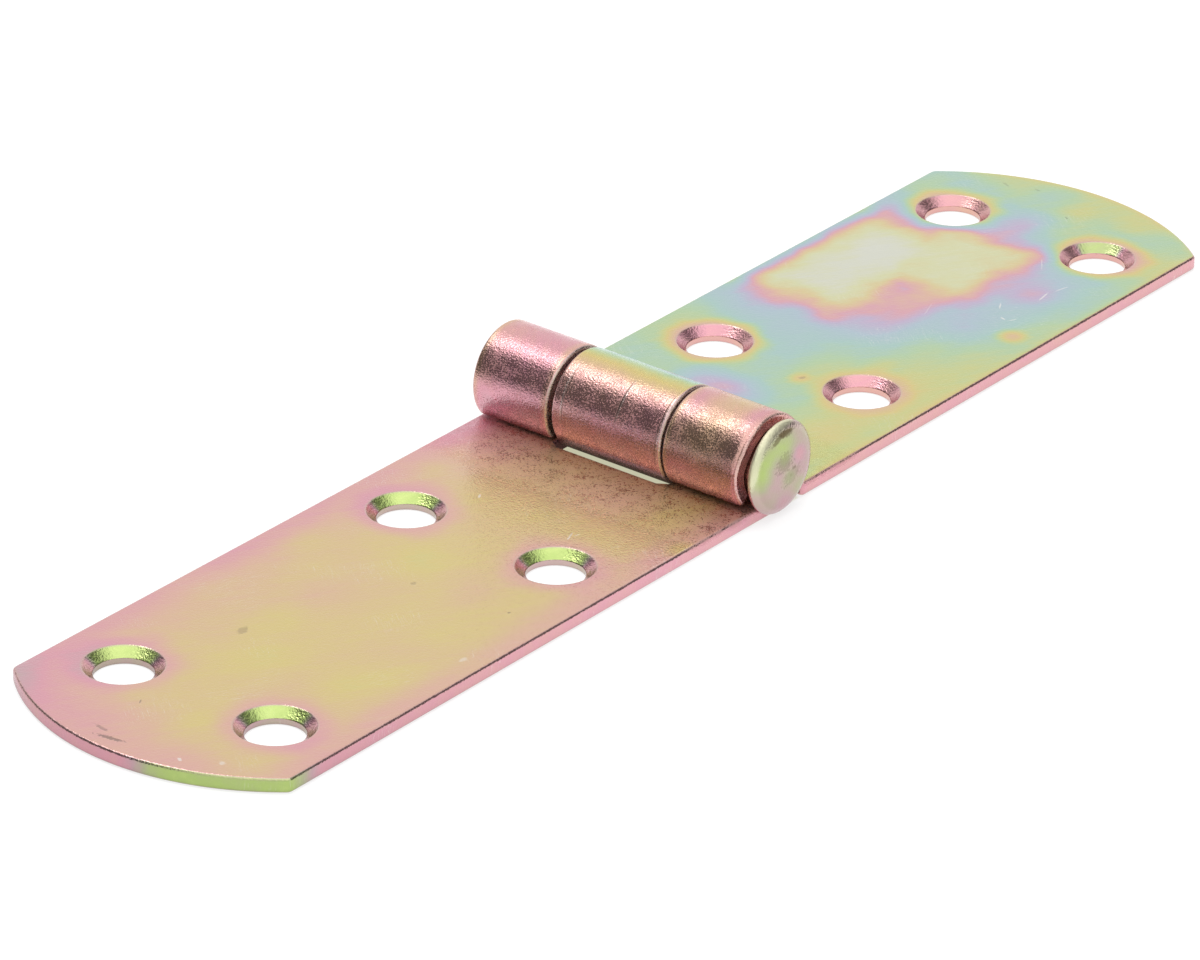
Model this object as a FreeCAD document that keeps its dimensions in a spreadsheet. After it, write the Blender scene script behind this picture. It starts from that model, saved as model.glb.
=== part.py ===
import FreeCAD, Part
import os

import Sketcher

# Three-knuckle strap hinge with a headed pin, laid open flat on its back.
# The frame has its origin on the back plane, under the pin's axis, at the middle of the leaves' width.
# +X runs towards the far leaf, the pin lies along Y with its head at -Y, and +Z points away from the back.
# Every length is in millimetres and every angle in degrees.

# Driving dimensions: alias, value, meaning
SIZES = (
    ("leaf_width", 35.0, "width of both leaves, along the pin"),
    ("leaf_reach", 82.0, "from the pin's axis to the tip of a leaf"),
    ("sheet_thickness", 1.6, "thickness of the strip that both leaves are made of"),
    ("tip_radius", 26.6, "radius of the curved end of a leaf"),
    ("corner_radius", 0.9, "rounding where the curved end meets a side"),
    ("pin_diameter", 7.4, "shank of the pin"),
    ("pin_clearance", 0.05, "running clearance round the shank, on the radius"),
    ("rear_knuckle", 9.85, "length of the knuckle at the rear end of the pin"),
    ("rear_gap", 0.45, "gap between the rear knuckle and the middle one"),
    ("middle_knuckle", 14.0, "length of the far leaf's knuckle"),
    ("front_gap", 0.25, "gap between the middle knuckle and the front one"),
    ("head_setback", 0.95, "how far the front knuckle stops short of the leaf's side"),
    ("setback_start", 0.6, "from the pin's axis to where that narrower stretch starts"),
    ("notch_clearance", 0.62, "room between a notch's edge and the other leaf's roll"),
    ("notch_corner", 0.45, "rounding of the punched corners beside the knuckles"),
    ("roll_end_gap", 0.3, "gap between the end of a roll and its leaf's face"),
    ("back_edge_bevel", 0.24, "eased edge on the back of the strip, outside on a knuckle"),
    ("face_edge_bevel", 0.12, "eased edge on the face of the strip, inside on a knuckle"),
    ("first_hole", 25.5, "from the pin's axis to the nearer pair of screw holes"),
    ("hole_pitch", 42.8, "between the two pairs of holes, along the leaf"),
    ("hole_row_pitch", 19.15, "between the two holes of a pair, across the leaf"),
    ("hole_diameter", 6.0, "screw hole"),
    ("sink_diameter", 8.2, "mouth of the countersink"),
    ("sink_angle", 100.0, "cone angle of the countersink"),
    ("head_diameter", 10.0, "head of the pin"),
    ("head_thickness", 1.45, "thickness of the head"),
    ("head_gap", 1.1, "how far the head stands off the front knuckle"),
    ("head_front_radius", 0.6, "rounding of the head's outer rim"),
    ("head_back_bevel", 0.18, "bevel of the head's inner rim"),
    ("rivet_diameter", 8.6, "riveted rear end of the pin"),
    ("rivet_height", 0.7, "height of the riveted end's dome"),
    ("rivet_gap", 0.05, "gap between the riveted end and the rear knuckle"),
)

# Heights and places that follow from the sizes, as expressions
BORE_RADIUS = "(Sizes.pin_diameter / 2 + Sizes.pin_clearance)"
ROLL_RADIUS = f"({BORE_RADIUS} + Sizes.sheet_thickness)"
HALF_WIDTH = "(Sizes.leaf_width / 2)"
REAR_KNUCKLE_END = f"({HALF_WIDTH} - Sizes.rear_knuckle)"
MIDDLE_REAR = f"({REAR_KNUCKLE_END} - Sizes.rear_gap)"
MIDDLE_FRONT = f"(Sizes.middle_knuckle - {MIDDLE_REAR})"
FRONT_KNUCKLE_START = f"({MIDDLE_FRONT} + Sizes.front_gap)"
FRONT_KNUCKLE_END = f"({HALF_WIDTH} - Sizes.head_setback)"
NOTCH_SWING = f"({ROLL_RADIUS} + Sizes.notch_clearance)"
NOTCH_DEPTH = f"sqrt({NOTCH_SWING} ^ 2 - {BORE_RADIUS} ^ 2)"
ROLL_END_HEIGHT = "(Sizes.sheet_thickness + Sizes.roll_end_gap)"
ROLL_CUT_HEIGHT = "(Sizes.sheet_thickness + Sizes.roll_end_gap / 2)"
CUT_MARGIN = "Sizes.leaf_width"
HEAD_BACK = f"({FRONT_KNUCKLE_END} + Sizes.head_gap)"
HEAD_FRONT = f"({HEAD_BACK} + Sizes.head_thickness)"
RIVET_SEAT = f"({HALF_WIDTH} + Sizes.rivet_gap)"

# Codes for a point of a drawn line or arc, and for the drawing's own origin and axes
START, END, CENTRE = range(1, 4)
ORIGIN = (-1, 1)
X_AXIS, Y_AXIS = range(-1, -3, -1)

# How near two coordinates must be to count as one, when edges are picked
NEAR = 1e-4

PARTS_FOLDER = "parts"


def make_sheet(doc):
    """List the driving dimensions, each under its own name."""
    sheet = doc.addObject("Spreadsheet::Sheet", "Sizes")
    for row, (alias, value, meaning) in enumerate(SIZES, start=1):
        sheet.set(f"A{row}", meaning)
        sheet.set(f"B{row}", str(value))
        sheet.setAlias(f"B{row}", alias)
    doc.recompute()
    return sheet


def value_of(doc, expression):
    """Work out an expression of the driving dimensions as a number."""
    result = doc.Sizes.evalExpression(expression.replace("Sizes.", ""))
    return float(getattr(result, "Value", result))


def new_sketch(body, name, role, lift=None):
    """Start a drawing on one of the body's own planes, lifted along the plane's normal."""
    sketch = body.newObject("Sketcher::SketchObject", name)
    plane = next(item for item in body.Origin.OriginFeatures if item.Role == role)
    sketch.AttachmentSupport = [(plane, "")]
    sketch.MapMode = "FlatFace"
    if lift is not None:
        sketch.setExpression("AttachmentOffset.Base.z", lift)
    return sketch


def bind(sketch, kind, references, expression):
    """Add a dimension to a drawing and tie it to the driving dimensions."""
    size = value_of(sketch.Document, expression)
    index = sketch.addConstraint(Sketcher.Constraint(kind, *references, size))
    sketch.setExpression(f"Constraints[{index}]", expression)


def place(sketch, point, across, along):
    """Fix a point of a drawing by signed expressions for its two coordinates."""
    for kind, (sign, expression) in (("DistanceX", across), ("DistanceY", along)):
        references = (*ORIGIN, *point) if sign > 0 else (*point, *ORIGIN)
        bind(sketch, kind, references, expression)


def add_rectangle(sketch, near_corner, far_corner):
    """Draw a rectangle between two corners, each a pair of signed expressions."""
    doc = sketch.Document
    values = [
        [sign * value_of(doc, expression) for sign, expression in corner]
        for corner in (near_corner, far_corner)
    ]
    (left, low), (right, high) = values
    corners = [
        FreeCAD.Vector(left, low),
        FreeCAD.Vector(right, low),
        FreeCAD.Vector(right, high),
        FreeCAD.Vector(left, high),
    ]
    sides = [
        sketch.addGeometry(Part.LineSegment(corners[k], corners[(k + 1) % 4])) for k in range(4)
    ]
    for side, following in zip(sides, sides[1:] + sides[:1]):
        sketch.addConstraint(Sketcher.Constraint("Coincident", side, END, following, START))
    for side, direction in zip(sides, ("Horizontal", "Vertical", "Horizontal", "Vertical")):
        sketch.addConstraint(Sketcher.Constraint(direction, side))
    place(sketch, (sides[0], START), *near_corner)
    place(sketch, (sides[2], START), *far_corner)


def pad_strip(body):
    """Draw the section of the strip, flat and rolled, and run it across the leaf's full width.

    The flat lies at -X. It runs in under the pin, curls up behind it and over the top,
    and ends just above its own face.
    """
    doc = body.Document
    sketch = new_sketch(body, "strip_section", "XZ_Plane")
    reach = value_of(doc, "Sizes.leaf_reach")
    thickness = value_of(doc, "Sizes.sheet_thickness")
    bore = value_of(doc, BORE_RADIUS)
    roll = value_of(doc, ROLL_RADIUS)
    end_height = value_of(doc, ROLL_END_HEIGHT)

    axis = FreeCAD.Vector(0, roll)
    outer_end = FreeCAD.Vector(-((roll**2 - (roll - end_height) ** 2) ** 0.5), end_height)
    inner_end = axis + (outer_end - axis) * (bore / roll)
    outer_circle = Part.Circle(axis, FreeCAD.Vector(0, 0, 1), roll)
    inner_circle = Part.Circle(axis, FreeCAD.Vector(0, 0, 1), bore)

    back = sketch.addGeometry(
        Part.LineSegment(FreeCAD.Vector(-reach, 0), FreeCAD.Vector(0, 0))
    )
    outside = sketch.addGeometry(
        Part.ArcOfCircle(
            outer_circle,
            outer_circle.parameter(FreeCAD.Vector(0, 0)),
            outer_circle.parameter(outer_end),
        )
    )
    roll_end = sketch.addGeometry(Part.LineSegment(outer_end, inner_end))
    inside = sketch.addGeometry(
        Part.ArcOfCircle(
            inner_circle,
            inner_circle.parameter(FreeCAD.Vector(0, thickness)),
            inner_circle.parameter(inner_end),
        )
    )
    face = sketch.addGeometry(
        Part.LineSegment(FreeCAD.Vector(0, thickness), FreeCAD.Vector(-reach, thickness))
    )
    tip = sketch.addGeometry(
        Part.LineSegment(FreeCAD.Vector(-reach, thickness), FreeCAD.Vector(-reach, 0))
    )

    constraint = Sketcher.Constraint
    sketch.addConstraint(
        [
            constraint("Tangent", back, END, outside, START),
            constraint("Coincident", outside, END, roll_end, START),
            constraint("Coincident", roll_end, END, inside, END),
            constraint("Tangent", inside, START, face, START),
            constraint("Coincident", face, END, tip, START),
            constraint("Coincident", tip, END, back, START),
            constraint("Horizontal", back),
            constraint("Vertical", tip),
            constraint("Coincident", outside, CENTRE, inside, CENTRE),
            constraint("Coincident", back, END, *ORIGIN),
            constraint("PointOnObject", outside, CENTRE, roll_end),
        ]
    )
    bind(sketch, "DistanceX", (back, START, back, END), "Sizes.leaf_reach")
    bind(sketch, "DistanceY", (tip, END, tip, START), "Sizes.sheet_thickness")
    bind(sketch, "Radius", (inside,), BORE_RADIUS)
    bind(sketch, "DistanceY", (*ORIGIN, outside, END), ROLL_END_HEIGHT)

    pad = body.newObject("PartDesign::Pad", "strip")
    pad.Profile = sketch
    pad.Midplane = True
    pad.setExpression("Length", "Sizes.leaf_width")
    doc.recompute()
    return pad


def add_pocket(body, sketch, name, upwards_only=False):
    """Cut an outline drawn in plan through the whole body, both ways or only upwards."""
    doc = body.Document
    doc.recompute()
    before = body.Tip.Shape.Volume
    pocket = body.newObject("PartDesign::Pocket", name)
    pocket.Profile = sketch
    pocket.Type = "ThroughAll"
    pocket.Midplane = not upwards_only
    pocket.Reversed = upwards_only
    doc.recompute()
    if pocket.Shape.Volume > before - NEAR:
        raise RuntimeError(f"{body.Label}: {name} cuts nothing")
    return pocket


def cut_tip(body):
    """Cut the strip's square end to the leaf's curved tip."""
    doc = body.Document
    sketch = new_sketch(body, "tip_outline", "XY_Plane")
    reach = value_of(doc, "Sizes.leaf_reach")
    radius = value_of(doc, "Sizes.tip_radius")
    margin = value_of(doc, CUT_MARGIN)
    middle = FreeCAD.Vector(radius - reach, 0)
    circle = Part.Circle(middle, FreeCAD.Vector(0, 0, 1), radius)
    rear = FreeCAD.Vector(radius - reach, radius)
    front = FreeCAD.Vector(radius - reach, -radius)
    rear_out = FreeCAD.Vector(-reach - margin, radius)
    front_out = FreeCAD.Vector(-reach - margin, -radius)

    arc = sketch.addGeometry(
        Part.ArcOfCircle(circle, circle.parameter(rear), circle.parameter(front))
    )
    lower = sketch.addGeometry(Part.LineSegment(front, front_out))
    outer = sketch.addGeometry(Part.LineSegment(front_out, rear_out))
    upper = sketch.addGeometry(Part.LineSegment(rear_out, rear))
    constraint = Sketcher.Constraint
    sketch.addConstraint(
        [
            constraint("Tangent", arc, END, lower, START),
            constraint("Coincident", lower, END, outer, START),
            constraint("Coincident", outer, END, upper, START),
            constraint("Tangent", upper, END, arc, START),
            constraint("Horizontal", lower),
            constraint("Vertical", outer),
            constraint("Horizontal", upper),
            constraint("PointOnObject", arc, CENTRE, X_AXIS),
        ]
    )
    bind(sketch, "Radius", (arc,), "Sizes.tip_radius")
    bind(sketch, "DistanceX", (arc, CENTRE, *ORIGIN), "Sizes.leaf_reach - Sizes.tip_radius")
    bind(sketch, "DistanceX", (outer, START, *ORIGIN), f"Sizes.leaf_reach + {CUT_MARGIN}")
    return add_pocket(body, sketch, "curved_tip")


def cut_between_knuckles(body, cuts):
    """Cut away the strip where the other leaf's knuckles, or the pin's head, need room.

    Each cut is a depth from the pin's axis and two signed heights along the pin. The flat
    is cut to that depth, and the roll above it is cut away whole over the same stretch.
    """
    flat = new_sketch(body, "flat_cuts", "XY_Plane")
    for depth, low, high in cuts:
        add_rectangle(flat, ((-1, depth), low), ((1, CUT_MARGIN), high))
    add_pocket(body, flat, "flat_room")
    roll = new_sketch(body, "roll_cuts", "XY_Plane", ROLL_CUT_HEIGHT)
    for _, low, high in cuts:
        add_rectangle(roll, ((-1, CUT_MARGIN), low), ((1, CUT_MARGIN), high))
    add_pocket(body, roll, "roll_room", upwards_only=True)


def ease_edges(body, kind, name, wanted, size):
    """Fillet or bevel each wanted edge of the body, and whatever runs on smoothly from it."""
    base = body.Tip
    names = [
        f"Edge{k}"
        for k, edge in enumerate(base.Shape.Edges, start=1)
        if not edge.Degenerated and wanted(edge)
    ]
    if not names:
        raise RuntimeError(f"{body.Label}: no edge found for {name}")
    eased = body.newObject(f"PartDesign::{kind}", name)
    eased.Base = (base, names)
    eased.setExpression({"Fillet": "Radius", "Chamfer": "Size"}[kind], size)
    body.Document.recompute()
    if eased.State != ["Up-to-date"] or not eased.Shape.isValid():
        raise RuntimeError(f"{body.Label}: {name} failed")
    return eased


def stands_upright(edge):
    """Tell whether an edge is a straight line along Z."""
    if not isinstance(edge.Curve, Part.Line):
        return False
    return abs(abs(edge.Curve.Direction.z) - 1) < NEAR


def round_outline(body):
    """Round the corners of the flat blank, first at the tip and then beside the knuckles."""
    doc = body.Document
    half_width = value_of(doc, HALF_WIDTH)
    halfway = -value_of(doc, "Sizes.leaf_reach") / 2

    def at_tip(edge):
        """Pick the two corners where the curved end meets the sides."""
        place_of = edge.CenterOfMass
        at_side = abs(abs(place_of.y) - half_width) < NEAR
        return stands_upright(edge) and place_of.x < halfway and at_side

    def at_knuckles(edge):
        """Pick the corners that the cuts left in the flat."""
        return stands_upright(edge) and edge.CenterOfMass.x > halfway

    ease_edges(body, "Fillet", "tip_corners", at_tip, "Sizes.corner_radius")
    ease_edges(body, "Fillet", "punched_corners", at_knuckles, "Sizes.notch_corner")


def bevel_rims(body, name, ring_radius, bevel):
    """Bevel the rims of one side of the strip, found by their radius on the knuckles."""
    size = value_of(body.Document, ring_radius)

    def on_ring(edge):
        """Pick the round edges of this radius about the pin's axis."""
        curve = edge.Curve
        if not isinstance(curve, Part.Circle):
            return False
        return abs(curve.Radius - size) < NEAR and abs(abs(curve.Axis.y) - 1) < NEAR

    return ease_edges(body, "Chamfer", name, on_ring, bevel)


def drill_screw_holes(body):
    """Drill the four screw holes, countersunk from the leaf's face."""
    doc = body.Document
    sketch = new_sketch(body, "hole_places", "XY_Plane", "Sizes.sheet_thickness")
    first = "Sizes.first_hole"
    second = "Sizes.first_hole + Sizes.hole_pitch"
    row = "Sizes.hole_row_pitch / 2"
    radius = value_of(doc, "Sizes.hole_diameter / 2")
    for distance in (first, second):
        for side in (-1, 1):
            centre = FreeCAD.Vector(-value_of(doc, distance), side * value_of(doc, row))
            hole = sketch.addGeometry(Part.Circle(centre, FreeCAD.Vector(0, 0, 1), radius))
            bind(sketch, "Radius", (hole,), "Sizes.hole_diameter / 2")
            place(sketch, (hole, CENTRE), (-1, distance), (side, row))
    doc.recompute()
    before = body.Tip.Shape.Volume
    holes = body.newObject("PartDesign::Hole", "screw_holes")
    holes.Profile = sketch
    holes.ThreadType = "None"
    holes.DepthType = "ThroughAll"
    holes.DrillPoint = "Flat"
    holes.HoleCutType = "Countersink"
    holes.HoleCutCustomValues = True
    holes.setExpression("Diameter", "Sizes.hole_diameter")
    holes.setExpression("HoleCutDiameter", "Sizes.sink_diameter")
    holes.setExpression("HoleCutCountersinkAngle", "Sizes.sink_angle")
    doc.recompute()
    if holes.Shape.Volume > before - NEAR:
        raise RuntimeError(f"{body.Label}: the screw holes cut nothing")
    return holes


def make_leaf(doc, label, cuts):
    """Make one leaf with its knuckles, lying at -X: a single strip, punched and rolled."""
    body = doc.addObject("PartDesign::Body", label)
    body.Label = label
    pad_strip(body)
    cut_tip(body)
    cut_between_knuckles(body, cuts)
    round_outline(body)
    bevel_rims(body, "back_edges", ROLL_RADIUS, "Sizes.back_edge_bevel")
    bevel_rims(body, "face_edges", BORE_RADIUS, "Sizes.face_edge_bevel")
    drill_screw_holes(body)
    return body


def make_near_leaf(doc):
    """Make the leaf at -X, which carries the rear and front knuckles and holds the pin."""
    cuts = (
        (NOTCH_DEPTH, (-1, FRONT_KNUCKLE_START), (1, REAR_KNUCKLE_END)),
        ("Sizes.setback_start", (-1, CUT_MARGIN), (-1, FRONT_KNUCKLE_END)),
    )
    return make_leaf(doc, "near_leaf", cuts)


def make_far_leaf(doc):
    """Make the leaf at +X, which carries the middle knuckle: drawn at -X and turned half round."""
    cuts = (
        (NOTCH_DEPTH, (-1, CUT_MARGIN), (-1, MIDDLE_REAR)),
        (NOTCH_DEPTH, (1, MIDDLE_FRONT), (1, CUT_MARGIN)),
    )
    body = make_leaf(doc, "far_leaf", cuts)
    half_turn = FreeCAD.Rotation(FreeCAD.Vector(0, 0, 1), 180)
    body.Placement = FreeCAD.Placement(FreeCAD.Vector(0, 0, 0), half_turn)
    return body


def make_pin(doc):
    """Turn the pin about its own axis: a flat head in front, a shank, and a riveted rear end."""
    body = doc.addObject("PartDesign::Body", "pin")
    body.Label = "pin"
    sketch = new_sketch(body, "pin_profile", "XY_Plane", ROLL_RADIUS)
    head_radius = value_of(doc, "Sizes.head_diameter / 2")
    shank_radius = value_of(doc, "Sizes.pin_diameter / 2")
    rivet_radius = value_of(doc, "Sizes.rivet_diameter / 2")
    rivet_height = value_of(doc, "Sizes.rivet_height")
    head_front = -value_of(doc, HEAD_FRONT)
    head_back = -value_of(doc, HEAD_BACK)
    seat = value_of(doc, RIVET_SEAT)
    dome_radius = (rivet_radius**2 + rivet_height**2) / (2 * rivet_height)

    corners = [
        FreeCAD.Vector(0, seat + rivet_height),
        FreeCAD.Vector(0, head_front),
        FreeCAD.Vector(head_radius, head_front),
        FreeCAD.Vector(head_radius, head_back),
        FreeCAD.Vector(shank_radius, head_back),
        FreeCAD.Vector(shank_radius, seat),
        FreeCAD.Vector(rivet_radius, seat),
    ]
    middle = FreeCAD.Vector(0, seat + rivet_height - dome_radius)
    circle = Part.Circle(middle, FreeCAD.Vector(0, 0, 1), dome_radius)
    lines = [
        sketch.addGeometry(Part.LineSegment(first, second))
        for first, second in zip(corners, corners[1:])
    ]
    axis, front, rim, back, shank, shoulder = lines
    dome = sketch.addGeometry(
        Part.ArcOfCircle(circle, circle.parameter(corners[-1]), circle.parameter(corners[0]))
    )
    constraint = Sketcher.Constraint
    for first, second in zip(lines, lines[1:]):
        sketch.addConstraint(constraint("Coincident", first, END, second, START))
    sketch.addConstraint(
        [
            constraint("Coincident", shoulder, END, dome, START),
            constraint("Coincident", dome, END, axis, START),
            constraint("PointOnObject", axis, START, Y_AXIS),
            constraint("PointOnObject", axis, END, Y_AXIS),
            constraint("PointOnObject", dome, CENTRE, Y_AXIS),
            constraint("Horizontal", front),
            constraint("Vertical", rim),
            constraint("Horizontal", back),
            constraint("Vertical", shank),
            constraint("Horizontal", shoulder),
        ]
    )
    bind(sketch, "DistanceY", (axis, END, *ORIGIN), HEAD_FRONT)
    bind(sketch, "DistanceX", (*ORIGIN, rim, START), "Sizes.head_diameter / 2")
    bind(sketch, "DistanceY", (rim, START, rim, END), "Sizes.head_thickness")
    bind(sketch, "DistanceX", (*ORIGIN, shank, START), "Sizes.pin_diameter / 2")
    bind(sketch, "DistanceY", (*ORIGIN, shank, END), RIVET_SEAT)
    bind(sketch, "DistanceX", (*ORIGIN, shoulder, END), "Sizes.rivet_diameter / 2")
    bind(sketch, "DistanceY", (shank, END, dome, END), "Sizes.rivet_height")

    turned = body.newObject("PartDesign::Revolution", "turned_pin")
    turned.Profile = sketch
    turned.ReferenceAxis = (sketch, ["V_Axis"])
    turned.Angle = 360
    doc.recompute()

    def rim_at(distance):
        """Make a test for the head's rim at one place along the pin."""
        def wanted(edge):
            """Pick the round edge of the head's radius at that place."""
            curve = edge.Curve
            if not isinstance(curve, Part.Circle):
                return False
            return abs(curve.Radius - head_radius) < NEAR and abs(curve.Center.y - distance) < NEAR

        return wanted

    ease_edges(body, "Fillet", "head_front_rim", rim_at(head_front), "Sizes.head_front_radius")
    ease_edges(body, "Chamfer", "head_back_rim", rim_at(head_back), "Sizes.head_back_bevel")
    return body


def check_document(doc, bodies):
    """Stop if any object failed, or a sub-part's shape is missing or broken."""
    for item in doc.Objects:
        if "Invalid" in item.State or "Error" in item.State:
            raise RuntimeError(f"{item.Label} did not compute: {item.State}")
    for body in bodies:
        if body.Shape.isNull() or not body.Shape.isValid() or len(body.Shape.Solids) != 1:
            raise RuntimeError(f"{body.Label} has no single valid solid")


def main():
    """Build the hinge and write each sub-part to its own file."""
    doc = FreeCAD.newDocument("strap_hinge")
    make_sheet(doc)
    bodies = [make_near_leaf(doc), make_far_leaf(doc), make_pin(doc)]
    doc.recompute()
    check_document(doc, bodies)
    os.makedirs(PARTS_FOLDER, exist_ok=True)
    for body in bodies:
        body.Shape.exportStep(os.path.join(PARTS_FOLDER, f"{body.Label}.step"))
        box = body.Shape.optimalBoundingBox()
        print(
            f"{body.Label}: volume {body.Shape.Volume:.1f} mm3,",
            f"X {box.XMin:.2f}..{box.XMax:.2f},",
            f"Y {box.YMin:.2f}..{box.YMax:.2f},",
            f"Z {box.ZMin:.2f}..{box.ZMax:.2f}",
        )


main()
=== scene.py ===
"""Looks of an open three-knuckle strap hinge in yellow-passivated steel, on a pale floor."""

import logging
import math
from dataclasses import dataclass, field
from enum import Enum
from typing import Iterable, Sequence

import bmesh
import bpy
import numpy as np
from mathutils import Matrix, Vector, noise
from mathutils.geometry import delaunay_2d_cdt


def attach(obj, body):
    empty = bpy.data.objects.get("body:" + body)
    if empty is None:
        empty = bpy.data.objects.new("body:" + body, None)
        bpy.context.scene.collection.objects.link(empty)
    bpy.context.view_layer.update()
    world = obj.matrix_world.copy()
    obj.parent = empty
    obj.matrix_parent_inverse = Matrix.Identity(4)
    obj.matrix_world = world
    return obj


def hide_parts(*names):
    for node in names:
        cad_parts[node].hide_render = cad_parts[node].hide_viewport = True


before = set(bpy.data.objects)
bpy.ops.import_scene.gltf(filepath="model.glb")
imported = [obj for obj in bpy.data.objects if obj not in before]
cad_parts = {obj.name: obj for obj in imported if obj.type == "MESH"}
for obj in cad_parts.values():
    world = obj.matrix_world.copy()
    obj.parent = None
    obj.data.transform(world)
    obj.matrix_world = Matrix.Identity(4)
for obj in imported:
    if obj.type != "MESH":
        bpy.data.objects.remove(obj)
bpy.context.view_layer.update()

LOG = logging.getLogger("strap_hinge")

MM = 0.001

Point = tuple[float, float]
Place = tuple[float, float, float]
Colour = tuple[int, int, int]
Socket = bpy.types.NodeSocket

# Colours that a growing passive film gives to zinc, each after the thickness where it shows
FILM_COLOURS: tuple[tuple[float, Colour], ...] = (
    (0, (216, 217, 203)), (7, (216, 216, 172)), (13, (221, 203, 153)), (19, (224, 186, 160)),
    (26, (221, 168, 178)), (33, (196, 180, 206)), (41, (178, 196, 208)), (50, (172, 203, 196)),
    (57, (182, 208, 168)), (64, (204, 207, 142)), (70, (219, 200, 134)), (76, (220, 191, 148)),
    (83, (223, 178, 163)), (90, (222, 162, 174)), (95, (203, 168, 174)), (100, (186, 186, 152)),
    (106, (184, 206, 124)), (112, (220, 232, 154)),
)
THICKEST = FILM_COLOURS[-1][0]
METALLIC = 0.92
RUB_AND_HIGHLIGHT_REACH = 0.22
MARK_DEPTH = 0.4
SCRATCH_SHARE = 0.35

# Where the knuckle's finer mesh starts, and how near the outline a wall's points lie
ROLL_START = -1.0
WALL_RIM = 0.2


def linear(colour: Colour) -> tuple[float, ...]:
    """Turn a screen colour from 0 to 255 into the linear colour that sockets take.

    Args:
        colour: red, green and blue.

    Returns:
        Linear red, green and blue, and an alpha of one.
    """
    shares = [part / 255 for part in colour]
    return (*[s / 12.92 if s <= 0.04045 else ((s + 0.055) / 1.055) ** 2.4 for s in shares], 1.0)


def smooth_step(low: float, high: float, value: np.ndarray) -> np.ndarray:
    """Rise smoothly from 0 at low to 1 at high, for an array of values."""
    share = np.clip((value - low) / (high - low), 0.0, 1.0)
    return share * share * (3 - 2 * share)


def quarter_turn(steps: int) -> list[float]:
    """Angles from nought to a right angle in equal steps."""
    return [math.pi / 2 * k / steps for k in range(steps + 1)]


def wander(x: np.ndarray, y: np.ndarray, wave: float, shift: float) -> np.ndarray:
    """Make a smooth uneven field.

    Args:
        x: places along the hinge, in millimetres.
        y: places along the pin, in millimetres.
        wave: rough distance between its hills.
        shift: makes one field unlike another.

    Returns:
        Values from about -1 to 1.
    """
    return np.array([noise.noise(Vector((a / wave, b / wave, shift))) for a, b in zip(x, y)])


def add_clouds(
    film: np.ndarray, x: np.ndarray, y: np.ndarray, clouds: Sequence[Sequence[float]]
) -> None:
    """Make the film thicker or thinner in soft patches.

    Args:
        film: film thickness at each point, which is changed.
        x: places along the hinge, in millimetres.
        y: places along the pin, in millimetres.
        clouds: each patch's place, its reach both ways, and the change at its middle.
    """
    for middle_x, middle_y, wide, tall, amount in clouds:
        away = np.hypot((x - middle_x) / wide, (y - middle_y) / tall)
        film += amount * (1 - smooth_step(0.0, 1.0, away))


class Patch(Enum):
    """Which part of the strip's skin a point belongs to."""

    BACK = 0
    WALL = 1
    FACE = 2
    SINK = 3
    BORE = 4


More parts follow.
